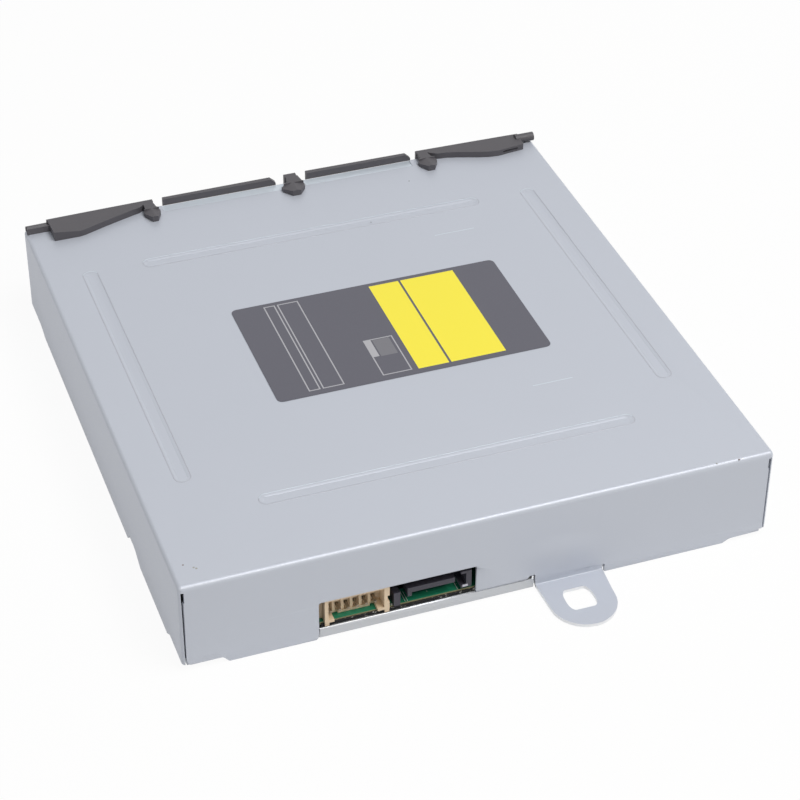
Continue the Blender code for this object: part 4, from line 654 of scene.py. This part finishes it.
class DriveLooks(bpy.types.PropertyGroup):
    """The drive's main colours and finishes."""

    cover_colour: FloatVectorProperty(
        name="Cover colour", description="Base colour of the coated sheet",
        subtype="COLOR", min=0.0, max=1.0, default=colour("C3C8D3")[:3],
    )
    cover_roughness: FloatProperty(
        name="Cover roughness", description="How dull the coated sheet is",
        subtype="FACTOR", min=0.1, max=1.0, default=0.44,
    )
    bezel_colour: FloatVectorProperty(
        name="Bezel colour", description="Base colour of the moulded bezel",
        subtype="COLOR", min=0.0, max=1.0, default=colour("504E53")[:3],
    )
    label_colour: FloatVectorProperty(
        name="Label colour", description="Colour of the sticker's film",
        subtype="COLOR", min=0.0, max=1.0, default=colour("5B5B66")[:3],
    )
    ink_colour: FloatVectorProperty(
        name="Field colour", description="Colour of the sticker's two fields",
        subtype="COLOR", min=0.0, max=1.0, default=colour("FFF046")[:3],
    )
    board_colour: FloatVectorProperty(
        name="Board colour", description="Colour of the circuit board's mask",
        subtype="COLOR", min=0.0, max=1.0, default=colour("258A69")[:3],
    )


class StageSettings(bpy.types.PropertyGroup):
    """The studio's light levels and the floor."""

    key_strength: FloatProperty(
        name="Key light", description="Power of the large lamp over the drive", unit="POWER",
        min=0.0, default=9.4,
    )
    sky_strength: FloatProperty(
        name="Room light", description="Level of the even light from all round", min=0.0, default=0.31,
    )
    floor_size: FloatProperty(
        name="Floor size", description="Length of the floor's side", unit="LENGTH", min=0.5, default=6.0,
    )


class DISCDRIVE_OT_materials(bpy.types.Operator):
    """Make the materials"""

    bl_idname = "disc_drive.materials"
    bl_label = "Materials"

    def execute(self, context):
        make_materials()
        return {"FINISHED"}


class DISCDRIVE_OT_case(bpy.types.Operator):
    """Finish the sheet-metal case and its screws"""

    bl_idname = "disc_drive.case"
    bl_label = "Case"

    def execute(self, context):
        cover = refined("top_cover", "coated_galvanised_sheet", shape=shape_cover)
        # Painted highlight: the lip, and the cut edges of the ear, get the lighter sheet where they catch the
        # light
        mark_faces(cover, "painted_highlight_and_pale_marks", on_lip)
        mark_faces(cover, "painted_edge_highlight", on_ear_edge)
        # A near-white strip of painted highlight along the lip's front edge
        edge_x = (LIP_X[0] + NEAR, LIP_X[1] - NEAR)
        edge_y = (LIP_FRONT + FRONT_EDGE_Y[0], LIP_FRONT + FRONT_EDGE_Y[1])
        edge_z = (COVER_TOP + FRONT_EDGE_Z[0], COVER_TOP + FRONT_EDGE_Z[1])
        small_block("front_painted_highlight", edge_x, edge_y, edge_z, "painted_edge_highlight")
        line_z = (COVER_TOP + MARK_LIFT, COVER_TOP + MARK_LIFT + MARK_THICKNESS)
        for i, (x, y) in enumerate(WITNESS_LINES):
            small_block(f"witness_line_{i + 1}", x, (y - WITNESS_HALF_WIDTH, y + WITNESS_HALF_WIDTH), line_z,
                        "painted_highlight_and_pale_marks")
        # Rings of painted light round the grooves: highlight along the front, shade along the sides and rear
        for i, (middle, half_length, direction) in enumerate(GROOVES):
            groove_outline(f"groove_painted_light_{i + 1}", middle, half_length, direction)
        for i, (x, y, radius, look) in enumerate(COVER_MARKS):
            small_disc(f"cover_mark_{i + 1}", (x, y, COVER_TOP + MARK_LIFT), radius, MARK_THICKNESS, look)
        refined("bottom_chassis", "galvanised_sheet")
        for i in range(4):
            refined(f"chassis_screw_{i + 1}", "ground_steel")
        return {"FINISHED"}


class DISCDRIVE_OT_bezel(bpy.types.Operator):
    """Finish the moulded bezel and its felt lips"""

    bl_idname = "disc_drive.bezel"
    bl_label = "Bezel"

    def execute(self, context):
        refined("front_bezel", "moulded_abs", rounding=0.2, shape=raise_bezel_end)
        dress("black_felt", "felt_strip_lower", "felt_strip_upper")
        return {"FINISHED"}


class DISCDRIVE_OT_label(bpy.types.Operator):
    """Print the label"""

    bl_idname = "disc_drive.label"
    bl_label = "Label"

    def execute(self, context):
        printed_label()
        return {"FINISHED"}


class DISCDRIVE_OT_sockets(bpy.types.Operator):
    """Finish the circuit board and its sockets"""

    bl_idname = "disc_drive.sockets"
    bl_label = "Board and sockets"

    def execute(self, context):
        mark_faces(refined("main_board", "board_laminate"), "laminate_core", on_cut_edge)
        base = BOARD_TOP + BOARD_LIFT
        for i, (x, y) in enumerate(BOARD_LINES):
            small_block(f"board_line_{i + 1}", (x - BOARD_LINE_HALF_WIDTH, x + BOARD_LINE_HALF_WIDTH), y,
                        (base, base + BOARD_LINE_THICKNESS), "board_white_and_painted_highlight")
        # The first white spot is a painted highlight at the foot of the power header's post
        for i, (x, y, radius) in enumerate(BOARD_SPOTS):
            small_disc(f"board_spot_{i + 1}", (x, y, base), radius, BOARD_SPOT_THICKNESS, "board_white_and_painted_highlight")
        small_block("guide_tab", GUIDE_TAB_X, (HEADER_MOUTH + GUIDE_TAB_Y[0], HEADER_MOUTH + GUIDE_TAB_Y[1]),
                    GUIDE_TAB_Z, "tinned_tab")
        dress("insulation_sheet", "insulation_strip")
        dress("chip_resin", "drive_chip", "motor_chip")
        refined("power_header", "cream_nylon", rounding=0.1)
        refined("data_header", "black_polymer", rounding=0.12)
        dress("tin_plate", *[f"power_pin_{i + 1}" for i in range(6)])
        return {"FINISHED"}


class DISCDRIVE_OT_loader(bpy.types.Operator):
    """Finish the roller loader, its gears and the levers"""

    bl_idname = "disc_drive.loader"
    bl_label = "Loader"

    def execute(self, context):
        refined("loader_frame", "frame_plastic", smooth_angle=20.0)
        refined("disc_guide", "frame_plastic")
        refined("loading_roller", "soft_rubber")
        dress("natural_nylon", "roller_bush_left", "roller_bush_right")
        dress("white_acetal", "roller_gear", "idler_gear", "drive_gear", "reduction_gear", "cam_slide")
        dress("turned_brass", "motor_pinion")
        refined("loading_motor", "plated_can")
        for node in ("roller_shaft", "motor_shaft"):
            refined(node, "ground_steel")
        for node in ("disc_lever_left", "disc_lever_right"):
            refined(node, "dark_plastic")
        return {"FINISHED"}


class DISCDRIVE_OT_traverse(bpy.types.Operator):
    """Finish the traverse, the spindle and the pickup"""

    bl_idname = "disc_drive.traverse"
    bl_label = "Traverse"

    def execute(self, context):
        refined("traverse_base", "dark_plastic")
        dress("soft_rubber", *[f"damper_{i + 1}" for i in range(4)])
        dress("galvanised_sheet", "traverse_plate", "sled_motor_bracket")
        for node in ("spindle_motor", "sled_motor"):
            refined(node, "plated_can")
        refined("turntable", "dark_plastic")
        for node in ("guide_rod_main", "guide_rod_sub", "lead_screw"):
            refined(node, "ground_steel")
        refined("pickup_sled", "zinc_casting")
        dress("dark_plastic", "sled_follower")
        dress("chip_resin", "lens_holder")
        refined("objective_lens", "coated_lens")
        return {"FINISHED"}


class DISCDRIVE_OT_clamp(bpy.types.Operator):
    """Finish the clamp over the spindle"""

    bl_idname = "disc_drive.clamp"
    bl_label = "Clamp"

    def execute(self, context):
        refined("clamp_bracket", "galvanised_sheet")
        refined("clamper", "dark_plastic")
        dress("galvanised_sheet", "clamp_magnet")
        return {"FINISHED"}


def lamp(name, size, power, place, aim, tint):
    """A rectangular lamp that faces a point."""
    light = bpy.data.lights.new(name, "AREA")
    light.shape = "RECTANGLE"
    light.size, light.size_y = size
    light.energy = power
    light.color = tint
    thing = bpy.data.objects.new(name, light)
    bpy.context.scene.collection.objects.link(thing)
    thing.location = place
    thing.rotation_euler = (Vector(aim) - Vector(place)).to_track_quat("-Z", "Y").to_euler()


def studio_camera():
    """The camera as fitted to the photograph."""
    azimuth = math.radians(CAMERA_AZIMUTH)
    elevation = math.radians(CAMERA_ELEVATION)
    level = math.cos(elevation)
    back = Vector((math.sin(azimuth) * level, -math.cos(azimuth) * level, math.sin(elevation)))
    right = (-back).cross(Vector((0, 0, 1))).normalized()
    up = right.cross(-back)
    roll = math.radians(CAMERA_ROLL)
    across = right * math.cos(roll) + up * math.sin(roll)
    upright = up * math.cos(roll) - right * math.sin(roll)
    place = Vector(CAMERA_AIM) + back * CAMERA_DISTANCE
    place += across * CAMERA_SLIDE[0] + upright * CAMERA_SLIDE[1]
    data = bpy.data.cameras.new("studio_camera")
    data.lens = CAMERA_LENS
    data.sensor_width = CAMERA_SENSOR
    data.clip_start = CAMERA_CLIP
    camera = bpy.data.objects.new("studio_camera", data)
    bpy.context.scene.collection.objects.link(camera)
    turn = Matrix((across, upright, back)).transposed().to_4x4()
    camera.matrix_world = Matrix.Translation(place * MM) @ turn
    bpy.context.scene.camera = camera


def seen_by_eye(tree):
    """1 where the camera, a reflection or clear glass sees the backdrop, and 0 for light on the object."""
    path = add(tree, "ShaderNodeLightPath").outputs
    mirror = add(tree, "ShaderNodeMath", {0: path["Is Camera Ray"], 1: path["Is Glossy Ray"]},
                 operation="MAXIMUM")
    glass = add(tree, "ShaderNodeMath", {0: mirror.outputs[0], 1: path["Is Transmission Ray"]},
                operation="MAXIMUM")
    return glass.outputs[0]


def pale_floor(size):
    """A white floor that the eye sees as the plain backdrop, and that keeps a trace of the drive's shadow."""
    bm = bmesh.new()
    bmesh.ops.create_grid(bm, x_segments=1, y_segments=1, size=size / 2)
    mesh = bpy.data.meshes.new("floor")
    bm.to_mesh(mesh)
    bm.free()
    floor = bpy.data.objects.new("floor", mesh)
    bpy.context.scene.collection.objects.link(floor)
    floor.location.z = -FLOOR_GAP
    material = bpy.data.materials.new("painted_floor")
    material.use_nodes = True
    tree = material.node_tree
    paint = tree.nodes["Principled BSDF"]
    paint.inputs["Base Color"].default_value = FLOOR_PAINT
    paint.inputs["Roughness"].default_value = 0.9
    paint.inputs["Specular IOR Level"].default_value = 0.1
    glow = add(tree, "ShaderNodeEmission", {"Color": (*WHITE, 1.0), "Strength": 1.0})
    eye = add(tree, "ShaderNodeMath", {0: seen_by_eye(tree), 1: FLOOR_WHITE}, operation="MULTIPLY")
    mixed = add(tree, "ShaderNodeMixShader", {"Fac": eye.outputs[0], 1: paint.outputs[0], 2: glow.outputs[0]})
    tree.links.new(mixed.outputs[0], tree.nodes["Material Output"].inputs["Surface"])
    mesh.materials.append(material)


def plain_room(strength):
    """Even light from all round, and a white backdrop for the eye."""
    world = bpy.data.worlds.new("studio")
    bpy.context.scene.world = world
    world.use_nodes = True
    tree = world.node_tree
    room = tree.nodes["Background"]
    room.inputs["Color"].default_value = (*WHITE, 1.0)
    room.inputs["Strength"].default_value = strength
    white = add(tree, "ShaderNodeBackground", {"Color": (*WHITE, 1.0), "Strength": 1.0})
    mixed = add(tree, "ShaderNodeMixShader", {"Fac": seen_by_eye(tree), 1: room.outputs[0],
                                              2: white.outputs[0]})
    tree.links.new(mixed.outputs[0], tree.nodes["World Output"].inputs["Surface"])


class DISCDRIVE_OT_stage(bpy.types.Operator):
    """Set up the floor, the lamps, the room light and the camera"""

    bl_idname = "disc_drive.stage"
    bl_label = "Stage"

    def execute(self, context):
        stage = context.scene.drive_stage
        context.scene.view_settings.view_transform = "Standard"
        pale_floor(stage.floor_size)
        plain_room(stage.sky_strength)
        for name, size, share, place, aim, tint in LAMPS:
            lamp(name, size, stage.key_strength * share, place, aim, tint)
        studio_camera()
        return {"FINISHED"}


STEPS = (
    DISCDRIVE_OT_materials, DISCDRIVE_OT_case, DISCDRIVE_OT_bezel, DISCDRIVE_OT_label, DISCDRIVE_OT_sockets,
    DISCDRIVE_OT_loader, DISCDRIVE_OT_traverse, DISCDRIVE_OT_clamp, DISCDRIVE_OT_stage,
)


class DISCDRIVE_PT_panel(bpy.types.Panel):
    """The steps and their settings"""

    bl_idname = "DISCDRIVE_PT_panel"
    bl_label = "Disc Drive"
    bl_space_type = "VIEW_3D"
    bl_region_type = "UI"
    bl_category = "Disc Drive"

    def draw(self, context):
        layout = self.layout
        for group in (context.scene.drive_looks, context.scene.drive_stage):
            for name in group.bl_rna.properties.keys():
                if name not in ("rna_type", "name"):
                    layout.prop(group, name)
        for step in STEPS:
            layout.operator(step.bl_idname)


CLASSES = (DriveLooks, StageSettings) + STEPS + (DISCDRIVE_PT_panel,)


def register():
    for cls in CLASSES:
        bpy.utils.register_class(cls)
    bpy.types.Scene.drive_looks = PointerProperty(type=DriveLooks)
    bpy.types.Scene.drive_stage = PointerProperty(type=StageSettings)


def unregister():
    del bpy.types.Scene.drive_stage
    del bpy.types.Scene.drive_looks
    for cls in reversed(CLASSES):
        bpy.utils.unregister_class(cls)


def main():
    register()
    bpy.ops.disc_drive.materials()
    bpy.ops.disc_drive.case()
    bpy.ops.disc_drive.bezel()
    bpy.ops.disc_drive.label()
    bpy.ops.disc_drive.sockets()
    bpy.ops.disc_drive.loader()
    bpy.ops.disc_drive.traverse()
    bpy.ops.disc_drive.clamp()
    bpy.ops.disc_drive.stage()


if __name__ == "__main__":
    main()
